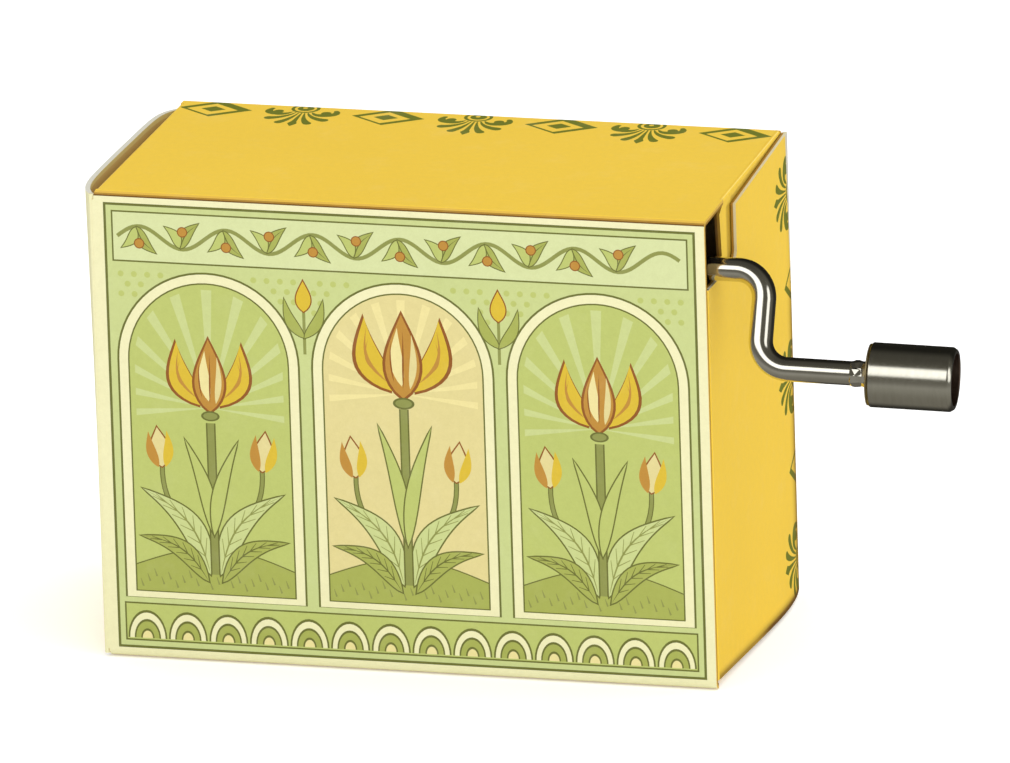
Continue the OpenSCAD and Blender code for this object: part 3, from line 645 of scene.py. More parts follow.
# The front print: three arches of tulips between a leaf frieze and a scalloped foot. Heights are from
# the carton's foot or the flower's, and an x is from the middle of the arch, leaf or bud.
frontPrint = dict(bleed=0.4, sideBleed=1.0, ruleX=0.9, ruleZ=1.0, ruleWidth=0.25, margin=1.8, bandLine=0.16)
frieze = dict(low=6.6, high=1.9, inset=2.2, pitch=4.25, waveStep=0.4, waveRise=1.05, stem=0.38, outline=0.1,
              leaves=[("mid", (-0.2, 0.95), (1.6, -1.55), -0.35, 0.62),
                      ("line", (-0.2, 0.95), (1.5, -1.4), -0.35, 0.06),
                      ("leaf", (-0.3, 0.9), (-1.7, -1.1), 0.35, 0.5)],
              berryDrop=0.65, berry=0.42, berrySides=16)
foot = dict(low=1.9, high=5.4, count=14, lift=0.12, rise=1.45, steps=16,
            fans=[("line", 1.92), ("cream", 1.74), ("line", 1.3), ("mid", 1.14), ("line", 0.66), ("straw", 0.5)])
arch = dict(half=8.75, spring=29.6, pitch=19.0, steps=32, inner=7.75, innerFoot=6.8,
            bands=[("line", 8.95, 6.05), ("cream", 8.75, 6.1), ("line", 7.9, 6.7)])
sideArch = dict(fill="leaf", ray="pale", flowerZ=25.2, flowerSize=1.08)
middleArch = dict(fill="peach", ray="straw", flowerZ=27.6, flowerSize=1.25)
rays = dict(count=13, first=-6, span=192, half=2.6, gap=0.5, longest=30.0, tries=24)
hill = dict(shoulder=9.3, rise=1.9, steps=16, outline=0.12)
grass = dict(count=22, inset=0.6, low=7.2, spread=1.3, lean=-0.25, tall=0.75, width=(0.2, 0.06))
sideFlower = dict(stem=((0.4, 9.6), (1.2, 13), (5.2, 14), (4.9, 19.4)), stemSteps=18,
                  strokes=[("line", 0.62, 0.5), ("deep", 0.4, 0.3)], bud=(4.9, 19.0), lean=6,
                  petals=[("brown", (0, 0), (0, 4.3), 0, 1.28), ("peach", (0, 0.15), (0, 4.05), 0, 1.1),
                          ("amber", (-0.35, 0.1), (-0.9, 3.7), 0.25, 0.55),
                          ("gold", (0.35, 0.1), (0.9, 3.7), -0.25, 0.55)])
sideLeaves = [dict(ink="pale", veinInk="deep", base=(0.5, 8.7), tip=(6.9, 16.9), bend=1.5, fat=1.25, rib=0.1,
                   steps=18, outline=0.15),
              dict(ink="mid", veinInk="line", base=(0.7, 8.0), tip=(7.2, 12.2), bend=1.2, fat=0.95, rib=0.08,
                   steps=16, outline=0.14)]
tulip = dict(stemFoot=8.7, stemDrop=1.5, strokes=[("line", 0.95), ("deep", 0.65)],
             leafFoot=12.6, leafOut=2.6, leafDrop=3.2, leafBend=0.5, leafFat=0.72, leafSteps=16,
             petals=[("brown", (-0.9, 0), (-3.0, 6.2), 0.9, 1.35), ("gold", (-0.85, 0.2), (-2.9, 5.9), 0.85, 1.15),
                     ("brown", (0.9, 0), (3.0, 6.2), -0.9, 1.35), ("gold", (0.85, 0.2), (2.9, 5.9), -0.85, 1.15),
                     ("brown", (0, -0.6), (0, 6.6), 0, 1.75), ("amber", (0, -0.35), (0, 6.25), 0, 1.5),
                     ("straw", (-0.1, 0.6), (-0.35, 5.2), 0.25, 0.55), ("peach", (0.55, 0.4), (0.75, 4.7), -0.2, 0.32),
                     ("amber", (-1.25, 0.9), (-2.75, 5.1), 0.8, 0.16), ("amber", (1.25, 0.9), (2.75, 5.1), -0.8, 0.16),
                     ("amber", (-1.55, 1.3), (-2.6, 4.3), 0.75, 0.1), ("amber", (1.55, 1.3), (2.6, 4.3), -0.75, 0.1),
                     ("brown", (0, 0.4), (0.1, 5.0), 0, 0.08), ("brown", (-0.7, 0.9), (-0.85, 4.2), 0.15, 0.07)],
             calyx=[("line", (0, -0.75, 0.85, 18, 0.55)), ("deep", (0, -0.75, 0.65, 18, 0.5))])
dots = dict(rows=9, columns=44, pitchX=1.3, pitchZ=0.98, stagger=0.65, inset=2.4, low=30.2, archClear=0.75,
            budClear=0.5, radius=0.3, sides=10)
budPlant = dict(fromMiddle=9.5, stem=(31.0, 36.0), stemWidth=0.3, leafFoot=32.6, leafTip=(1.9, 36.4), leafBend=-0.45,
                leafFat=0.55, leafLine=0.1, bud=(35.2, 38.2), budFat=0.8, budLine=0.12)


def friezeArt(x0, x1, f=frieze):
    low, high = tall - f["low"], tall - f["high"]
    mid, first, run = (low + high) / 2, x0 + f["inset"], x1 - x0 - 2 * f["inset"]
    margin = frontPrint["margin"]
    art = edged("sage", box2(x0 + margin, low, x1 - margin, high), width=frontPrint["bandLine"])
    steps = [i * f["waveStep"] for i in range(int(run / f["waveStep"]) + 1)]
    wave = [(first + s, mid + f["waveRise"] * math.sin(s * math.pi / f["pitch"])) for s in steps]
    art.append(("deep", ribbon(wave, f["stem"])))
    for i in range(int(run / f["pitch"])):
        px, s = first + (i + 0.5) * f["pitch"], 1 if i % 2 == 0 else -1
        for ink, base, tip, bend, fat in f["leaves"]:
            shape = leafShape((px + base[0], mid + s * base[1]), (px + tip[0], mid + s * tip[1]), s * bend, fat)
            art += [(ink, shape)] if ink == "line" else edged(ink, shape, width=f["outline"])
        berry = circle(px, mid - s * f["berryDrop"], f["berry"], f["berrySides"])
        art += edged("amber", berry, "brown", f["outline"])
    return art


def footArt(x0, x1, f=foot):
    left, right = x0 + frontPrint["margin"], x1 - frontPrint["margin"]
    art = edged("leaf", box2(left, f["low"], right, f["high"]), width=frontPrint["bandLine"])
    pitch, z = (right - left) / f["count"], f["low"] + f["lift"]
    turns = halfTurn(f["steps"])
    for i in range(f["count"]):
        x = left + (i + 0.5) * pitch
        for ink, rad in f["fans"]:
            art.append((ink, [(x + rad * math.cos(a), z + rad * f["rise"] * math.sin(a)) for a in turns]))
    return art


def archShape(cx, half, low):
    rim = [(cx + half * math.cos(a), arch["spring"] + half * math.sin(a)) for a in halfTurn(arch["steps"])]
    return [(cx - half, low), (cx + half, low)] + rim


def rayEnd(angle, flowerZ):
    # where a ray from the flower meets the arch
    ex, ez = math.cos(angle), math.sin(angle)
    room, spring = arch["inner"] - rays["gap"], arch["spring"]
    near, far = 0.0, rays["longest"]
    for _ in range(rays["tries"]):
        t = (near + far) / 2
        x, z = t * ex, flowerZ + t * ez
        isClear = abs(x) < room and (z < spring or math.hypot(x, z - spring) < room)
        near, far = (t, far) if isClear else (near, t)
    return near * ex, flowerZ + near * ez


def groundArt(cx):
    inner, turns = arch["inner"], halfTurn(hill["steps"])
    slope = [(cx + inner * (1 - 2 * j / hill["steps"]), hill["shoulder"] + hill["rise"] * math.sin(a))
             for j, a in enumerate(turns)]
    ground = [(cx - inner, arch["innerFoot"]), (cx + inner, arch["innerFoot"])] + slope
    art = edged("mid", ground, width=hill["outline"])
    g = grass
    for j in range(g["count"]):
        x = cx - inner + g["inset"] + 2 * (inner - g["inset"]) * j / (g["count"] - 1)
        z = g["low"] + g["spread"] * ((j * 7) % 5) / 5  # five heights in a mixed order
        art.append(("deep", ribbon([(x, z), (x + g["lean"], z + g["tall"])], *g["width"])))
    return art


def sideFlowerArt(cx, s, f=sideFlower):
    # leans outwards on its own stem, over two veined leaves
    stem = bezier(*[(cx + s * x, z) for x, z in f["stem"]], f["stemSteps"])
    art = [(ink, ribbon(stem, wide, thin)) for ink, wide, thin in f["strokes"]]
    x, z = f["bud"]
    art += [(ink, moved(leafShape(*petal), cx + s * x, z, -s * f["lean"])) for ink, *petal in f["petals"]]
    for k in sideLeaves:
        (x0, z0), (x1, z1) = k["base"], k["tip"]
        spine = (cx + s * x0, z0), (cx + s * x1, z1), s * k["bend"]
        art += edged(k["ink"], leafShape(*spine, k["fat"], k["steps"]), width=k["outline"])
        art.append((k["veinInk"], leafShape(*spine, k["rib"], k["steps"])))
        art += [(k["veinInk"], vein) for vein in leafVeins(*spine, k["fat"])]
    return art


def archArt(cx, kind, t=tulip):
    art = [(ink, archShape(cx, half, low)) for ink, half, low in arch["bands"]]
    art.append((kind["fill"], archShape(cx, arch["inner"], arch["innerFoot"])))
    flowerZ, size = kind["flowerZ"], kind["flowerSize"]
    for j in range(rays["count"]):
        a = math.radians(rays["first"] + rays["span"] * j / (rays["count"] - 1))
        ends = [rayEnd(a + sign * math.radians(rays["half"]), flowerZ) for sign in (-1, 1)]
        art.append((kind["ray"], [(cx, flowerZ)] + [(cx + x, z) for x, z in ends]))
    art += groundArt(cx) + sideFlowerArt(cx, -1) + sideFlowerArt(cx, 1)
    art += [(ink, ribbon([(cx, t["stemFoot"]), (cx, flowerZ - t["stemDrop"])], wide)) for ink, wide in t["strokes"]]
    for s in (-1, 1):
        tip = (cx + s * t["leafOut"], flowerZ - t["leafDrop"])
        art += edged("leaf", leafShape((cx, t["leafFoot"]), tip, s * t["leafBend"], t["leafFat"], t["leafSteps"]))
    flower = [(ink, leafShape(*petal)) for ink, *petal in t["petals"]] + [(ink, circle(*k)) for ink, k in t["calyx"]]
    return art + [(ink, moved([(x * size, z * size) for x, z in shape], cx, flowerZ)) for ink, shape in flower]


def dotsArt(x0, x1, mid, d=dots):
    # the ground above and between the arches
    art = []
    middles = [mid + k * arch["pitch"] for k in (-1, 0, 1)]
    for row in range(d["rows"]):
        for col in range(d["columns"]):
            x = x0 + d["inset"] + col * d["pitchX"] + (row % 2) * d["stagger"]
            z = d["low"] + row * d["pitchZ"]
            fromArch = min(math.hypot(x - m, z - arch["spring"]) for m in middles) - arch["half"]
            fromBud = min(abs(x - mid - k * budPlant["fromMiddle"]) for k in (-1, 1))
            if x < x1 - d["inset"] and fromArch > d["archClear"] and fromBud > d["budClear"]:
                art.append(("leaf", circle(x, z, d["radius"], d["sides"])))
    return art


def budArt(x, b=budPlant):
    art = [("deep", ribbon([(x, z) for z in b["stem"]], b["stemWidth"]))]
    for s in (-1, 1):
        tip = (x + s * b["leafTip"][0], b["leafTip"][1])
        art += edged("mid", leafShape((x, b["leafFoot"]), tip, s * b["leafBend"], b["leafFat"]), width=b["leafLine"])
    low, high = b["bud"]
    return art + edged("gold", leafShape((x, low), (x, high), 0, b["budFat"]), "brown", b["budLine"])


def frontArt(p=frontPrint):
    x0, x1 = -hingeStop, endX
    mid = (x0 + x1) / 2
    art = [("cream", box2(x0 - p["sideBleed"], -p["bleed"], x1 + p["sideBleed"], tall + p["bleed"]))]
    for ink, inset in (("line", 0.0), ("pale", p["ruleWidth"])):
        x, z = p["ruleX"] + inset, p["ruleZ"] + inset
        art.append((ink, box2(x0 + x, z, x1 - x, tall - z)))
    art += friezeArt(x0, x1) + footArt(x0, x1)
    for shift, kind in ((-arch["pitch"], sideArch), (0.0, middleArch), (arch["pitch"], sideArch)):
        art += archArt(mid + shift, kind)
    art += dotsArt(x0, x1, mid)
    return art + budArt(mid - budPlant["fromMiddle"]) + budArt(mid + budPlant["fromMiddle"])


# The border on the yellow faces, and where the front print stops on its way round the creases
border = dict(topCount=7, topPitch=8.53, topIn=1.2, endCount=5, endPitch=9.1, backDrop=1.3, backIn=0.4,
              panelMiddle=21.75, panelOut=0.1)
printStop = dict(top=0.3, foot=0.15, over=3.0, reach=40.0,
                 # creaseShades: dark to yellow strips at the top front crease, a painted shade of the fold
                 creaseShades=[("dark", 0.0), ("umber", 0.14), ("shade", 0.32), ("yellow", 0.6)])
slotShadow = dict(fromX=23.0, rise=30.0, below=2.0, above=9.0)  # painted shadow inside the front wall, round the crank's slot


def sleeveArt(b=border, p=printStop):
    art = [(ink, [(x, z - fold + vFront0) for x, z in shape]) for ink, shape in frontArt()]
    top, wide, over = vFront1 + arc * p["top"], p["reach"], p["over"]
    # painted shade: strips from dark to yellow along the top front crease
    art += [(ink, box2(-wide, top + rise, wide, vTop0 + over)) for ink, rise in p["creaseShades"]]
    art.append(("yellow", box2(-wide, flatDeep - over, wide, flatDeep + arc * p["foot"])))

    def alongTop(shape, s):
        return [(s + px, vBack0 - arc / 2 - b["topIn"] - py) for px, py in shape]

    def downBack(x, sign):
        middle = vBack0 + flatTall / 2 - b["backDrop"]
        return lambda shape, s: [(x + sign * (py + b["backIn"]), middle - s + px) for px, py in shape]
    art += borderStrip(b["topCount"], b["topPitch"], 0, alongTop)
    for x, sign in ((hingeStop, 1), (-endX, -1)):
        art += borderStrip(b["endCount"], b["endPitch"], 1, downBack(x, sign))
    return art


def makeSleeve():
    gap, seam, tight = c["flapGap"], c["seam"], c["cornerHinge"]
    lowCut = halfDeep - fold - dustY0 + gap  # where each wall steps back for a dust flap
    leftCut = vTop0 + halfDeep - fold - dustY0 + gap
    leftLow = dustY0 - gap + halfDeep - fold
    outline = [(wallLip, seam), (wallLip, lowCut), (cornerX, lowCut), (endX, flatDeep), (endX, vFront0),
               (endX, vFront1), (c["cornerFront"], vTop0), (c["cornerSlot"], slotCut), (lipAt(1, slotCut), slotCut),
               (lipAt(1, vTop1), vTop1), (cornerX, vTop1), (cornerX, vBack0), (hingeLip, vBack0), (hingeLip, vBack1),
               (cornerX, vBack1), (cornerX, vEnd), (-cornerX, vEnd), (-cornerX, vBack1), (-endX, vBack1),
               (-endX, vBack0), (-cornerX, vBack0), (-cornerX, leftCut), (-wallLip, leftCut), (-wallLip, vTop0),
               (-cornerX, vTop0), (-tight, vFront1), (-hingeLip, vFront1), (-hingeLip, vFront0), (-tight, vFront0),
               (-cornerX, flatDeep), (-wallLip, flatDeep), (-wallLip, leftLow), (-cornerX, leftLow), (-cornerX, seam)]
    steps = c["creaseSteps"]
    rows = [v0 + arc * i / steps for v0, _, _ in bends for i in range(steps + 1)]
    guides = [((-endX - 2 * past, v), (endX + 2 * past, v)) for v in rows if whisker < v < vEnd - whisker]
    guides.append(((slotShadow["fromX"], vFront0 - slotShadow["below"]), (slotShadow["fromX"], vTop0 + slotShadow["above"])))

    def inside(u, v):
        # the inside near the slot is painted near black, a painted shadow
        isShaded = u > slotShadow["fromX"] and vFront0 + slotShadow["rise"] < v < slotCut
        return "soot" if isShaded else "raw"
    sheet = Sheet("printedSleeve")
    sheet.flat(outline, sleeveArt(), onSleeve, guides, backInk=inside, rimInks=("shade", "umber"))
    return sheet.make(cardFinish)


sleeve = makeSleeve()
standIn(sleeve, "carton", "carton_sleeve")
print("sleeve printed:", len(sleeve.data.polygons), "faces")

# End flaps: the left end is the right end turned half round. Guides are distances from the hinge, the foot or
# the notch at which a sheet is split, so that it can bow and its painted shade can fade.
panelLook = dict(hingeGuides=(0.2, 0.5, 0.8, 1.2, 1.9), footGuides=(0.12, 0.28, 0.5, 0.8, 1.1),
                 rowGuides=(2.0, 2.6, 3.3, 4.0, 5.0, 6.0, 7.0, 28.0, 30.0, 32.0, 34.0), columns=12, rows=12,
                 slopeStep=0.05, litBandDepth=0.45, creamHinge=1.4, wornRoll=33.0, wornRollFoot=0.1,
                 wornCorner=[(1.0, 46.0), (-0.75, 46.0), (-0.45, 38.0), (-0.1, 31.0), (1.0, 31.0)])
# painted shade along the right panel's hinge and foot
hingeShade = dict(depth=0.9, reach=2.0, endZ=34.0, fade=6.0, least=0.25)
footShade = dict(depth=1.7, reach=1.1, startY=-10.0, fade=12.0, least=0.7)
# painted shadow on the flap beside the end panel's cut edges, and the direction its fold's painted highlight faces
flapShadowAndGlint = dict(depth=0.45, under=0.35, reach=1.9, aboveReach=1.1, pastNotch=1.2, aboveNotch=0.8,
                notchGuides=(0, 0.4, 0.8, 1.3, 1.9), edgeGuides=(0, 0.25, 0.5, 0.8, 1.1), glint=(0.5, 0, 0.87))


def turned(side, p, n=None):
    k = 1 if side == "right" else -1
    q = Vector((p[0] * k, p[1] * k, p[2]))
    return q if n is None else (q, Vector((n[0] * k, n[1] * k, n[2])))


def held(v, low=0.0, high=1.0):
    return min(max(v, low), high)


def uprightGuide(y):
    return (y, -past), (y, tall + past)


def levelGuide(z):
    return (-halfDeep - past, z), (halfDeep + past, z)


def nearEdge(distance, reach):
    return max(0.0, 1 - distance / reach) ** 2


def panelTop(y):
    return tuckZ1 + c["panelTaper"] / (hingeY - tuckY) * (y - tuckY)


def litBandLine(y):
    # the lower edge of a lighter band painted on the left panel's inside top, a painted light where it reaches in
    return leftTuckZ1 + c["panelFoot"] * (y - tuckY) / (hingeY - tuckY) - panelLook["litBandDepth"]


def bowed(y, z):
    # the left panel springs outwards between its hinge and its tuck fold, more towards its top
    lift = c["panelBow"] * max(z / tall, 0) ** c["bowLift"]
    share = held((hingeY - y) / (2 * panelHalf))
    rise = 1 - math.exp(-share / c["hingeSpring"])
    back = 1 - math.exp(-(1 - share) / c["tuckSpring"])
    slope = (1 - rise) / c["hingeSpring"] * back - rise * (1 - back) / c["tuckSpring"]
    return lift * rise * back, Vector((1, lift * slope / (2 * panelHalf), 0)).normalized()


def footBulge(y, z):
    share = held((y - tuckY) / (hingeY - tuckY))
    fade = max(1 - z / c["footReach"], 0)
    return c["footBow"] * share * (1 - share ** c["footPower"]) / c["footPeak"] * fade * fade


def footBowed(y, z):
    # the right panel's foot bulges, most towards its hinge
    out, e = footBulge(y, z), panelLook["slopeStep"]
    return out, Vector((1, (out - footBulge(y + e, z)) / e, (out - footBulge(y, z + e)) / e)).normalized()


def rightPanelShade(y, z, w=hingeShade, f=footShade):
    # painted shade: brown along the hinge below the worn corner, and along the foot, where the folds fall into shade
    low = panelZ0 + c["panelFoot"] * (hingeY - y) / (hingeY - tuckY)
    byHinge = w["depth"] * nearEdge(hingeY - y, w["reach"]) * held((w["endZ"] - z) / w["fade"], w["least"])
    byFoot = held(f["depth"] * nearEdge(z - low, f["reach"])) * held((y - f["startY"]) / f["fade"], f["least"])
    return max(byHinge, byFoot)


def rightPanelShape(k=panelLook):
    rad = c["notchRadius"]
    turns = [math.pi / 2 * i / c["notchSteps"] for i in range(c["notchSteps"] + 1)]
    corner = [(notchY - rad + rad * math.sin(a), notchZ + rad - rad * math.cos(a)) for a in turns[::-1]]
    outline = [(tuckY, tuckZ0), (hingeY, panelZ0), (hingeY, panelZ1), (notchY, panelTop(notchY))]
    guides = [uprightGuide(hingeY - d) for d in k["hingeGuides"]]
    guides += [((-halfDeep - past, tuckZ0 + d), (halfDeep + past, panelZ0 + d)) for d in k["footGuides"]]
    guides += [levelGuide(z) for z in k["rowGuides"]]
    columns = [panelMid + panelHalf * i / k["columns"] for i in range(1 - k["columns"], k["columns"])]
    guides += [((y, -past), (y, c["footReach"])) for y in columns]
    return outline + corner + [(tuckY, notchZ)], guides


def leftPanelShape(k=panelLook):
    outline = [(tuckY, tuckZ0), (hingeY, panelZ0), (hingeY, panelZ1), (tuckY, leftTuckZ1)]
    guides = [uprightGuide(panelMid + panelHalf * math.cos(a)) for a in halfTurn(c["bowSteps"])[1:-1]]
    guides += [levelGuide(tall * i / k["rows"]) for i in range(1, k["rows"])]
    guides.append(tuple((y, litBandLine(y)) for y in (tuckY - past, hingeY + past)))
    return outline, guides


def endPanel(side, k=panelLook, b=border):
    isRight = side == "right"
    outline, guides = rightPanelShape() if isRight else leftPanelShape()

    def place(y, z, depth):
        out, n = footBowed(y, z) if isRight else bowed(y, z)
        return turned(side, (panelX + halfCard - depth + out, y, z), n)

    def inside(y, z):
        return "peach" if not isRight and z > litBandLine(y) - whisker else "raw"  # a lighter band on the inside's top edge, painted light

    def downEdge(shape, s):
        sign = 1 if isRight else -1  # both borders follow the carton's back edges
        return [(sign * (halfDeep + b["panelOut"] - py), b["panelMiddle"] + s + px) for px, py in shape]
    art = borderStrip(b["endCount"], b["endPitch"], 1, downEdge, upright=True)
    if isRight:
        art.append(("worn", [(hingeY + y, z) for y, z in k["wornCorner"]]))
    else:
        art.append(("cream", box2(hingeY - k["creamHinge"], -past, hingeY + past, tall + past)))
    sheet = Sheet(side + "EndPanelPrinted")
    # the right panel gets painted shade along its hinge and foot
    sheet.flat(outline, art, place, guides, backInk=inside, shadeAt=rightPanelShade if isRight else None,
               rimInks=("cut", "umber") if isRight else ("worn", "worn"))
    wornZ = k["wornRoll"] if isRight else panelZ0 + k["wornRollFoot"]
    hinge = [turned(side, (panelX, hingeY, z)) for z in (panelZ0, wornZ, panelZ1)]
    # the right hinge roll is umber below its worn top, a painted shade of the fold
    sheet.roll(hinge, ("umber", "worn"), frontInk="cream")
    sheet.roll([turned(side, (panelX, tuckY, z)) for z in (tuckZ0, notchZ if isRight else leftTuckZ1)])
    return sheet.make(cardFinish)


def tuckFlap(side):
    rootX, tipX = panelX - halfCard - c["tuckCrease"], panelX - c["tuckLength"]
    k = c["tuckCorner"]
    z1 = notchZ if side == "right" else leftTuckZ1
    outline = [(tipX + k, tuckZ0), (rootX, tuckZ0), (rootX, z1), (tipX + k, z1), (tipX, z1 - k), (tipX, tuckZ0 + k)]
    sheet = Sheet(side + "TuckFlapCard")
    sheet.flat(outline, [], lambda x, z, depth: turned(side, (x, tuckY - halfCard + depth, z), (0, -1, 0)))
    return sheet.make(cardFinish)


def flapShadow(y, z, k=flapShadowAndGlint):
    # painted shadow where the flap runs in under the end panel's cut edges
    beside = max(notchY + k["under"] - y, 0)
    byNotch = nearEdge(beside, k["reach"]) if z < panelTop(notchY) + k["aboveNotch"] else 0
    byTop = nearEdge(max(0.0, z - panelTop(y)), k["aboveReach"]) if y > notchY - k["pastNotch"] else 0
    return k["depth"] * max(byNotch, byTop)


def dustFlap(side, level, k=flapShadowAndGlint):
    isSeen = (side, level) == ("right", "upper")  # the one beside the crank's slot
    y0, low = slotY if isSeen else dustY0, dustZ - c["dustLength"]
    outline = [(y0 + c["dustTaper"], low), (dustY1 - c["dustLength"], low), (dustY1, dustZ), (y0, dustZ)]
    creaseZ = dustZ
    if level == "lower":
        outline, creaseZ = [(y, tall - z) for y, z in outline][::-1], tall - dustZ

    def place(y, z, depth):
        # the right upper flap leans out to its fold above the end panel's edge
        base = panelTop(max(y, notchY))
        lean = ridgeShift(y) * held((z - base) / (dustZ - base)) if isSeen else 0
        return turned(side, (dustX + halfCard - depth + lean, y, z), (1, 0, 0))
    guides = []
    if isSeen:
        guides = [uprightGuide(notchY + k["under"] - d) for d in k["notchGuides"]]
        guides += [((tuckY, tuckZ1 + d), (hingeY, panelZ1 + d)) for d in k["edgeGuides"]]
    sheet = Sheet(side + level.capitalize() + "DustFlapCard")
    # the seen flap gets a painted shadow beside the end panel's cut edges
    sheet.flat(outline, [], place, guides, shadeAt=flapShadow if isSeen else None, rimInks=("umber", "dark"))
    crease = [(dustX + (ridgeShift(y) if isSeen else 0), y, creaseZ) for y in (y0, dustY1)]
    # the fold's upward facets take a painted highlight
    sheet.roll([turned(side, p) for p in crease], glint=turned(side, k["glint"]))
    return sheet.make(cardFinish)


def glueFlap():
    low, high = ([v / mm for v in corner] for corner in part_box("glue_flap"))
    sheet = Sheet("glueFlapCard")
    sheet.flat(box2(low[0], low[1], high[0], high[1]), [],
               lambda x, y, depth: (Vector((x, y, high[2] - depth)), Vector((0, 0, 1))), baseInk="raw")
    return sheet.make(cardFinish)


for side in ("left", "right"):
    standIn(endPanel(side), side + "_end", side + "_end_panel")
    standIn(tuckFlap(side), side + "_tuck", side + "_tuck_flap")
    for level in ("upper", "lower"):
        standIn(dustFlap(side, level), f"{side}_{level}_dust", f"{side}_{level}_dust_flap")
standIn(glueFlap(), "carton", "glue_flap")
print("flaps cut")

# Crank: a swept rod with a riveted head and hammered flats, and a hollow knob that spins on its pin
crank = dict(shaftY=-12.1, shaftZ=40.5, angle=24.0, throw=9.1, twist=5.0, armX=35.0, bend=2.7, rodRadius=1.15,
             bendSteps=14, sides=40, shadedTo=29.6, headX=49.45, headSides=40,
             head=[(0.0, 0.02), (0.0, 1.7), (0.45, 1.7), (0.7, 1.275), (0.8, 0.51), (0.8, 0.02)])
crimp = dict(x=44.55, half=0.85, radius=1.25, endRadius=1.127, rows=(-0.75, -0.35, 0.05, 0.45, 0.8), sides=11,
             dentedTo=0.9, push=0.09, pushTurn=2.4, rough=0.055, roughTurn=5.3,
             earOut=1.0, earSize=(0.714, 0.4, 0.55), earRough=(0.9, 0.2))
knob = dict(start=45.7, length=8.0, radius=3.05, chamfer=0.4, rimChamfer=0.15, recess=4.8, wall=0.6, bore=1.2,
            sides=96, soften=0.06, ease=0.02, lipEase=0.05, sharp=24.0)


def toCrank(p):
    a = math.radians(-crank["angle"])  # the arm hangs forward of straight down
    x, y, z = p
    return Vector((x, crank["shaftY"] + y * math.cos(a) - z * math.sin(a),
                   crank["shaftZ"] + y * math.sin(a) + z * math.cos(a)))


def toPin(p):
    # what lies past the arm is turned a little about the arm's own axis
    a = math.radians(crank["twist"])
    x, y, z = p
    out = x - crank["armX"]
    return toCrank((crank["armX"] + out * math.cos(a) - y * math.sin(a), out * math.sin(a) + y * math.cos(a),
                    z - crank["throw"]))


def sweptRodTree():
    tree = bpy.data.node_groups.new("sweptRod", "GeometryNodeTree")
    ids = {}
    tree.interface.new_socket("Geometry", in_out="INPUT", socket_type="NodeSocketGeometry")
    for label, kind in (("Rod Radius", "Float"), ("Bend Radius", "Float"), ("Bend Steps", "Int"), ("Sides", "Int"),
                        ("Finish", "Material")):
        ids[label] = tree.interface.new_socket(label, in_out="INPUT", socket_type="NodeSocket" + kind).identifier
    tree.interface.new_socket("Geometry", in_out="OUTPUT", socket_type="NodeSocketGeometry")
    given, result = (tree.nodes.new("NodeGroup" + kind) for kind in ("Input", "Output"))
    fillet, profile, sweep, smooth, real, paint = (tree.nodes.new("GeometryNode" + kind) for kind in (
        "FilletCurve", "CurvePrimitiveCircle", "CurveToMesh", "SetShadeSmooth", "RealizeInstances", "SetMaterial"))
    if "Mode" in fillet.inputs:
        fillet.inputs["Mode"].default_value = "Poly"
    else:
        fillet.mode = "POLY"
    sweep.inputs["Fill Caps"].default_value = True
    wires = [(given, "Geometry", fillet, "Curve"), (given, "Bend Radius", fillet, "Radius"),
             (given, "Bend Steps", fillet, "Count"), (fillet, "Curve", sweep, "Curve"),
             (given, "Rod Radius", profile, "Radius"), (given, "Sides", profile, "Resolution"),
             (profile, "Curve", sweep, "Profile Curve"), (sweep, "Mesh", smooth, "Geometry"),
             (smooth, "Geometry", real, "Geometry"), (real, "Geometry", paint, "Geometry"),
             (given, "Finish", paint, "Material"), (paint, "Geometry", result, "Geometry")]
    for source, output, target, entry in wires:
        tree.links.new(source.outputs[output], target.inputs[entry])
    return tree, ids


def sweptRod(name, points, finish, k=crank):
    tree, ids = sweptRodTree()
    data = bpy.data.curves.new(name + "Path", "CURVE")
    data.dimensions = "3D"
    spline = data.splines.new("POLY")
    spline.points.add(len(points) - 1)
    for p, q in zip(spline.points, points):
        p.co = (*(q * mm), 1)
    path = addObject(name + "Path", data)
    mod = path.modifiers.new("sweep", "NODES")
    mod.node_group = tree
    values = {"Rod Radius": k["rodRadius"] * mm, "Bend Radius": k["bend"] * mm, "Bend Steps": k["bendSteps"],
              "Sides": k["sides"], "Finish": finish}
    for label, v in values.items():
        mod[ids[label]] = v
    mesh = bpy.data.meshes.new_from_object(path.evaluated_get(bpy.context.evaluated_depsgraph_get()))
    mesh.name = name
    path.modifiers.remove(mod)
    bpy.data.objects.remove(path)
    return addObject(name, mesh)


def lathe(bm, profile, sides, dent=None):
    # turns an x and radius profile round the pin's axis
    rings = []
    for row, (x, rad) in enumerate(profile):
        ring = []
        for i, turn in enumerate(around(sides)):
            along, swell = dent(row * sides + i, x) if dent else (0.0, 1.0)
            spot = toPin((x + along, rad * swell * math.cos(turn), rad * swell * math.sin(turn)))
            ring.append(bm.verts.new(spot * mm))
        rings.append(ring)
    faces = []
    for row, (r0, r1) in enumerate(zip(rings, rings[1:] + rings[:1])):
        for i in range(sides):
            face = bm.faces.new((r0[i], r0[(i + 1) % sides], r1[(i + 1) % sides], r1[i]))
            face.smooth = True
            faces.append((row, face))
    return faces


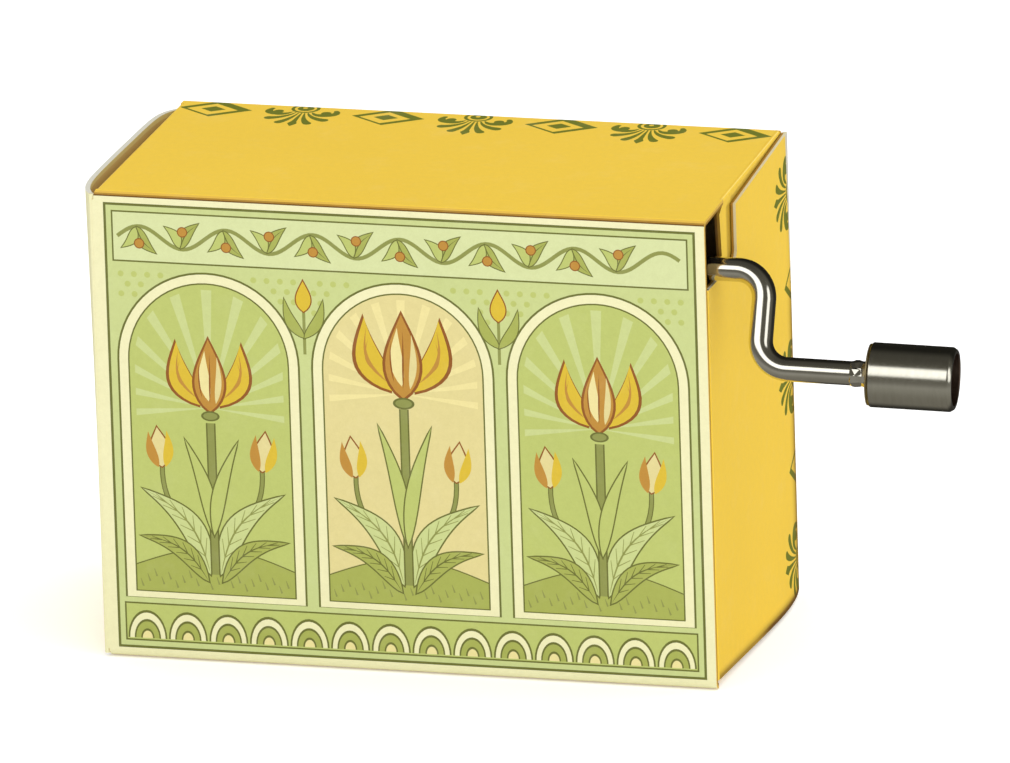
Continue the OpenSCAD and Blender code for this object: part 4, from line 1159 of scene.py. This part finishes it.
def addPins(bm, k=crimp):
    # the rivet's head, the hammered flats and their two ears
    lathe(bm, [(crank["headX"] + x, rad) for x, rad in crank["head"]], crank["headSides"])

    def hammered(i, x):
        if abs(x - k["x"]) > k["half"] * k["dentedTo"]:
            return 0.0, 1.0
        return k["push"] * math.sin(i * k["pushTurn"]), 1 + k["rough"] * math.sin(i * k["roughTurn"])
    rows = [(k["x"] + k["half"] * along, k["radius"]) for along in k["rows"]]
    ends = [(k["x"] + k["half"] * along, k["endRadius"]) for along in (-1, 1)]
    for _, face in lathe(bm, ends[:1] + rows + ends[1:], k["sides"], hammered):
        face.smooth = False
    least, spread = k["earRough"]
    for side in (-1, 1):
        for i, v in enumerate(bmesh.ops.create_icosphere(bm, subdivisions=1, radius=1.0)["verts"]):
            swell = least + spread * ((i * 7) % 5) / 5
            x, y, z = (a * swell * b for a, b in zip(v.co, k["earSize"]))
            v.co = toPin((k["x"] + x, side * k["earOut"] + y, z)) * mm


def makeRod(k=crank):
    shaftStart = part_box("crank_rod")[0][0] / mm
    bentArm = ((shaftStart, 0, 0), (k["armX"], 0, 0), (k["armX"], 0, -k["throw"]))
    points = [toCrank(p) for p in bentArm] + [toPin((k["headX"], 0, 0))]
    rod = sweptRod("bentCrankRod", points, finishes["nickel"])
    ends = bmesh.new()
    addPins(ends)
    bmesh.ops.recalc_face_normals(ends, faces=ends.faces)
    extra = bpy.data.meshes.new("rodEnds")
    ends.to_mesh(extra)
    ends.free()
    bm = bmesh.new()
    bm.from_mesh(rod.data)
    bm.from_mesh(extra)
    bpy.data.meshes.remove(extra)
    everything = bm.verts[:] + bm.edges[:] + bm.faces[:]
    bmesh.ops.bisect_plane(bm, geom=everything, plane_co=(k["shadedTo"] * mm, 0, 0), plane_no=(1, 0, 0))
    bm.to_mesh(rod.data)
    bm.free()
    # painted shade: the rod turns near black inside the carton
    rod.data.materials.append(finishes["oiled"])
    for face in rod.data.polygons:
        face.material_index = 1 if face.center.x < k["shadedTo"] * mm else 0
    return rod


def makeKnob(k=knob):
    x0, x1, rad = k["start"], k["start"] + k["length"], k["radius"]
    chamfer, rim, e, ease = k["chamfer"], k["rimChamfer"], k["soften"], k["ease"]
    inner, floor = rad - k["wall"], x1 - k["recess"]
    # each corner is softened by a narrow band on both sides
    rimEnd = [(x0, k["bore"]), (x0, rad - rim), (x0 + ease, rad - rim + e), (x0 + rim - e, rad - ease)]
    barrel = [(x0 + rim, rad), (x0 + rim + e, rad), (x1 - chamfer - e, rad), (x1 - chamfer, rad)]
    outerEnd = [(x1 - chamfer + e, rad - ease), (x1 - k["lipEase"], rad - chamfer / 2), (x1, rad - chamfer / 2 - e)]
    recess = [(x1, inner + e), (x1 - e, inner), (floor + e, inner), (floor, inner - e), (floor, k["bore"])]
    recessRow = len(rimEnd + barrel + outerEnd)
    bm = bmesh.new()
    for row, face in lathe(bm, rimEnd + barrel + outerEnd + recess, k["sides"]):
        isRecess = recessRow <= row < recessRow + len(recess) - 1
        # the inner end's rows take the brown painted reflection
        face.material_index = 1 if isRecess else 2 if row < len(rimEnd) else 0
    bmesh.ops.recalc_face_normals(bm, faces=bm.faces)
    for edge in bm.edges:
        if len(edge.link_faces) == 2 and edge.calc_face_angle(0) > math.radians(k["sharp"]):
            edge.smooth = False
    mesh = bpy.data.meshes.new("hollowKnob")
    bm.to_mesh(mesh)
    bm.free()
    for finish in ("knobNickel", "tarnish", "knobEnd"):
        mesh.materials.append(finishes[finish])
    return addObject("hollowKnob", mesh)


standIn(makeRod(), "crank", "crank_rod")
standIn(makeKnob(), "knob", "crank_knob")
print("crank bent")

# Studio: a pale floor and world, two lamps, and a tent with two soft boxes that only shiny surfaces see.
# A soft box has its azimuth, elevation, half width, half height and level; a lamp its place, size and watts.
studio = dict(floorSize=4.0, floorDrop=1e-4, floorColour=(1, 1, 1, 1), floorRough=0.9, floorGlow=0.08, floorSeen=0.14,
              worldLevel=0.885, tentRadius=1.6, tentRows=24, tentColumns=48, backFade=(0.0, 0.6, 0.15),
              softBoxes=[(-25.0, 33.0, 27.0, 17.0, 1.7), (67.0, 20.0, 12.0, 19.0, 1.45)],
              softEdge=(1.15, 0.8), softCorner=4.0, softWarmth=0.98,
              tentTones=[(0.0, (0.195, 0.185, 0.16)), (0.1, (0.22, 0.212, 0.184)), (0.22, (0.275, 0.268, 0.237)),
                         (0.34, (0.315, 0.308, 0.28)), (0.47, (0.175, 0.168, 0.148)), (0.62, (0.125, 0.121, 0.102)),
                         (0.93, (0.095, 0.091, 0.075)), (1.0, (0.068, 0.065, 0.055))],
              lamps=[("keyLamp", (0.45, -1.1, 0.25), 0.3, 2.6), ("overheadLamp", (0.5, 0.0, 1.05), 1.2, 3.9)],
              lampAim=(0, 0, 0.02))


def stageMesh(name, verts, faces, material):
    mesh = bpy.data.meshes.new(name)
    mesh.from_pydata(verts, [], faces)
    mesh.materials.append(material)
    obj = addObject(name, mesh)
    return obj


def dotNode(tree, vector, axis):
    n = newNode(tree, "ShaderNodeVectorMath", operation="DOT_PRODUCT")
    feed(tree, vector, n.inputs[0])
    feed(tree, axis, n.inputs[1])
    return n.outputs["Value"]


def mapRange(tree, value, source, target):
    n = newNode(tree, "ShaderNodeMapRange", interpolation_type="SMOOTHSTEP")
    labels = ("Value", "From Min", "From Max", "To Min", "To Max")
    for label, v in zip(labels, (value, *source, *target)):
        feed(tree, v, n.inputs[label])
    return n.outputs["Result"]


def tentFinish(s):
    mat, tree, _, where = newMaterial("darkTent")
    unit = newNode(tree, "ShaderNodeVectorMath", operation="NORMALIZE")
    split = tree.nodes.new("ShaderNodeSeparateXYZ")
    feed(tree, where, unit.inputs[0])
    feed(tree, unit.outputs[0], split.inputs[0])
    tone = ramp(tree, mathNode(tree, "MULTIPLY_ADD", split.outputs["Z"], 0.5, 0.5), s["tentTones"])
    near, far, least = s["backFade"]
    fade = mapRange(tree, split.outputs["Y"], (near, far), (1, least))
    colour = tint(tree, tone, (0, 0, 0, 1), "MIX", mathNode(tree, "SUBTRACT", 1.0, fade))
    for azimuth, elevation, halfWide, halfTall, level in s["softBoxes"]:
        aim = aimed(azimuth, elevation)
        side = aim.cross(Vector((0, 0, 1))).normalized()
        reach = []
        for axis, half in ((side, halfWide), (side.cross(aim), halfTall)):
            off = dotNode(tree, unit.outputs[0], axis / math.sin(math.radians(half)))
            reach.append(mathNode(tree, "POWER", mathNode(tree, "ABSOLUTE", off), s["softCorner"]))
        rim = mathNode(tree, "POWER", mathNode(tree, "ADD", *reach), 1 / s["softCorner"])
        isFacing = mathNode(tree, "GREATER_THAN", dotNode(tree, unit.outputs[0], aim), 0.0)
        soft = mathNode(tree, "MULTIPLY", mapRange(tree, rim, s["softEdge"], (0, 1)), isFacing)
        colour = tint(tree, colour, (level, level, level * s["softWarmth"], 1), "MIX", soft)
    glow = tree.nodes.new("ShaderNodeEmission")
    feed(tree, colour, glow.inputs["Color"])
    feed(tree, glow.outputs[0], tree.nodes["Material Output"].inputs["Surface"])
    return mat


def makeFloor(s):
    half, low = s["floorSize"] / 2, -s["floorDrop"]
    mat, tree, bsdf, _ = newMaterial("paleFloor")
    isSeen = tree.nodes.new("ShaderNodeLightPath").outputs["Is Camera Ray"]
    glow = mathNode(tree, "ADD", mathNode(tree, "MULTIPLY", isSeen, s["floorSeen"]), s["floorGlow"])
    for label, value in (("Base Color", s["floorColour"]), ("Roughness", s["floorRough"]), ("Specular IOR Level", 0.0),
                         ("Emission Color", s["floorColour"]), ("Emission Strength", glow)):
        feed(tree, value, bsdf.inputs[label])
    floor = stageMesh("studioFloor", [(x, y, low) for x, y in box2(-half, -half, half, half)], [(0, 1, 2, 3)], mat)
    floor.visible_glossy = False  # metal sees the tent's lower half in its place


def makeTent(s):
    rows, cols, rad = s["tentRows"], s["tentColumns"], s["tentRadius"]
    verts = [(rad * math.sin(a) * math.cos(b), rad * math.sin(a) * math.sin(b), rad * math.cos(a))
             for a in halfTurn(rows) for b in around(cols)]
    quads = []
    for i in range(rows):
        for k in range(cols):
            here, beside = i * cols + k, i * cols + (k + 1) % cols
            quads.append((here, beside, beside + cols, here + cols))
    tent = stageMesh("darkTent", verts, quads, tentFinish(s))
    tent.visible_camera = tent.visible_diffuse = tent.visible_transmission = False
    tent.visible_shadow = tent.visible_volume_scatter = False


def makeWorld(s):
    world = bpy.data.worlds.new("studioWorld")
    scene.world = world
    world.use_nodes = True
    tree = world.node_tree
    sky, path = tree.nodes["Background"], tree.nodes.new("ShaderNodeLightPath").outputs
    mirrored = mathNode(tree, "MAXIMUM", path["Is Glossy Ray"], path["Is Transmission Ray"])
    isSeen = mathNode(tree, "MAXIMUM", path["Is Camera Ray"], mirrored)
    rest = mathNode(tree, "MULTIPLY", isSeen, 1 - s["worldLevel"])  # white where it is seen
    feed(tree, mathNode(tree, "ADD", s["worldLevel"], rest), sky.inputs["Strength"])
    feed(tree, (1, 1, 1, 1), sky.inputs["Color"])


def makeLamps(s):
    for name, place, size, watts in s["lamps"]:
        data = bpy.data.lights.new(name, "AREA")
        data.size, data.energy = size, watts
        lamp = addObject(name, data)
        lamp.location = place
        lamp.rotation_euler = (Vector(s["lampAim"]) - Vector(place)).to_track_quat("-Z", "Y").to_euler()
        lamp.visible_glossy = False


makeFloor(studio)
makeTent(studio)
makeWorld(studio)
makeLamps(studio)
print("studio lit")
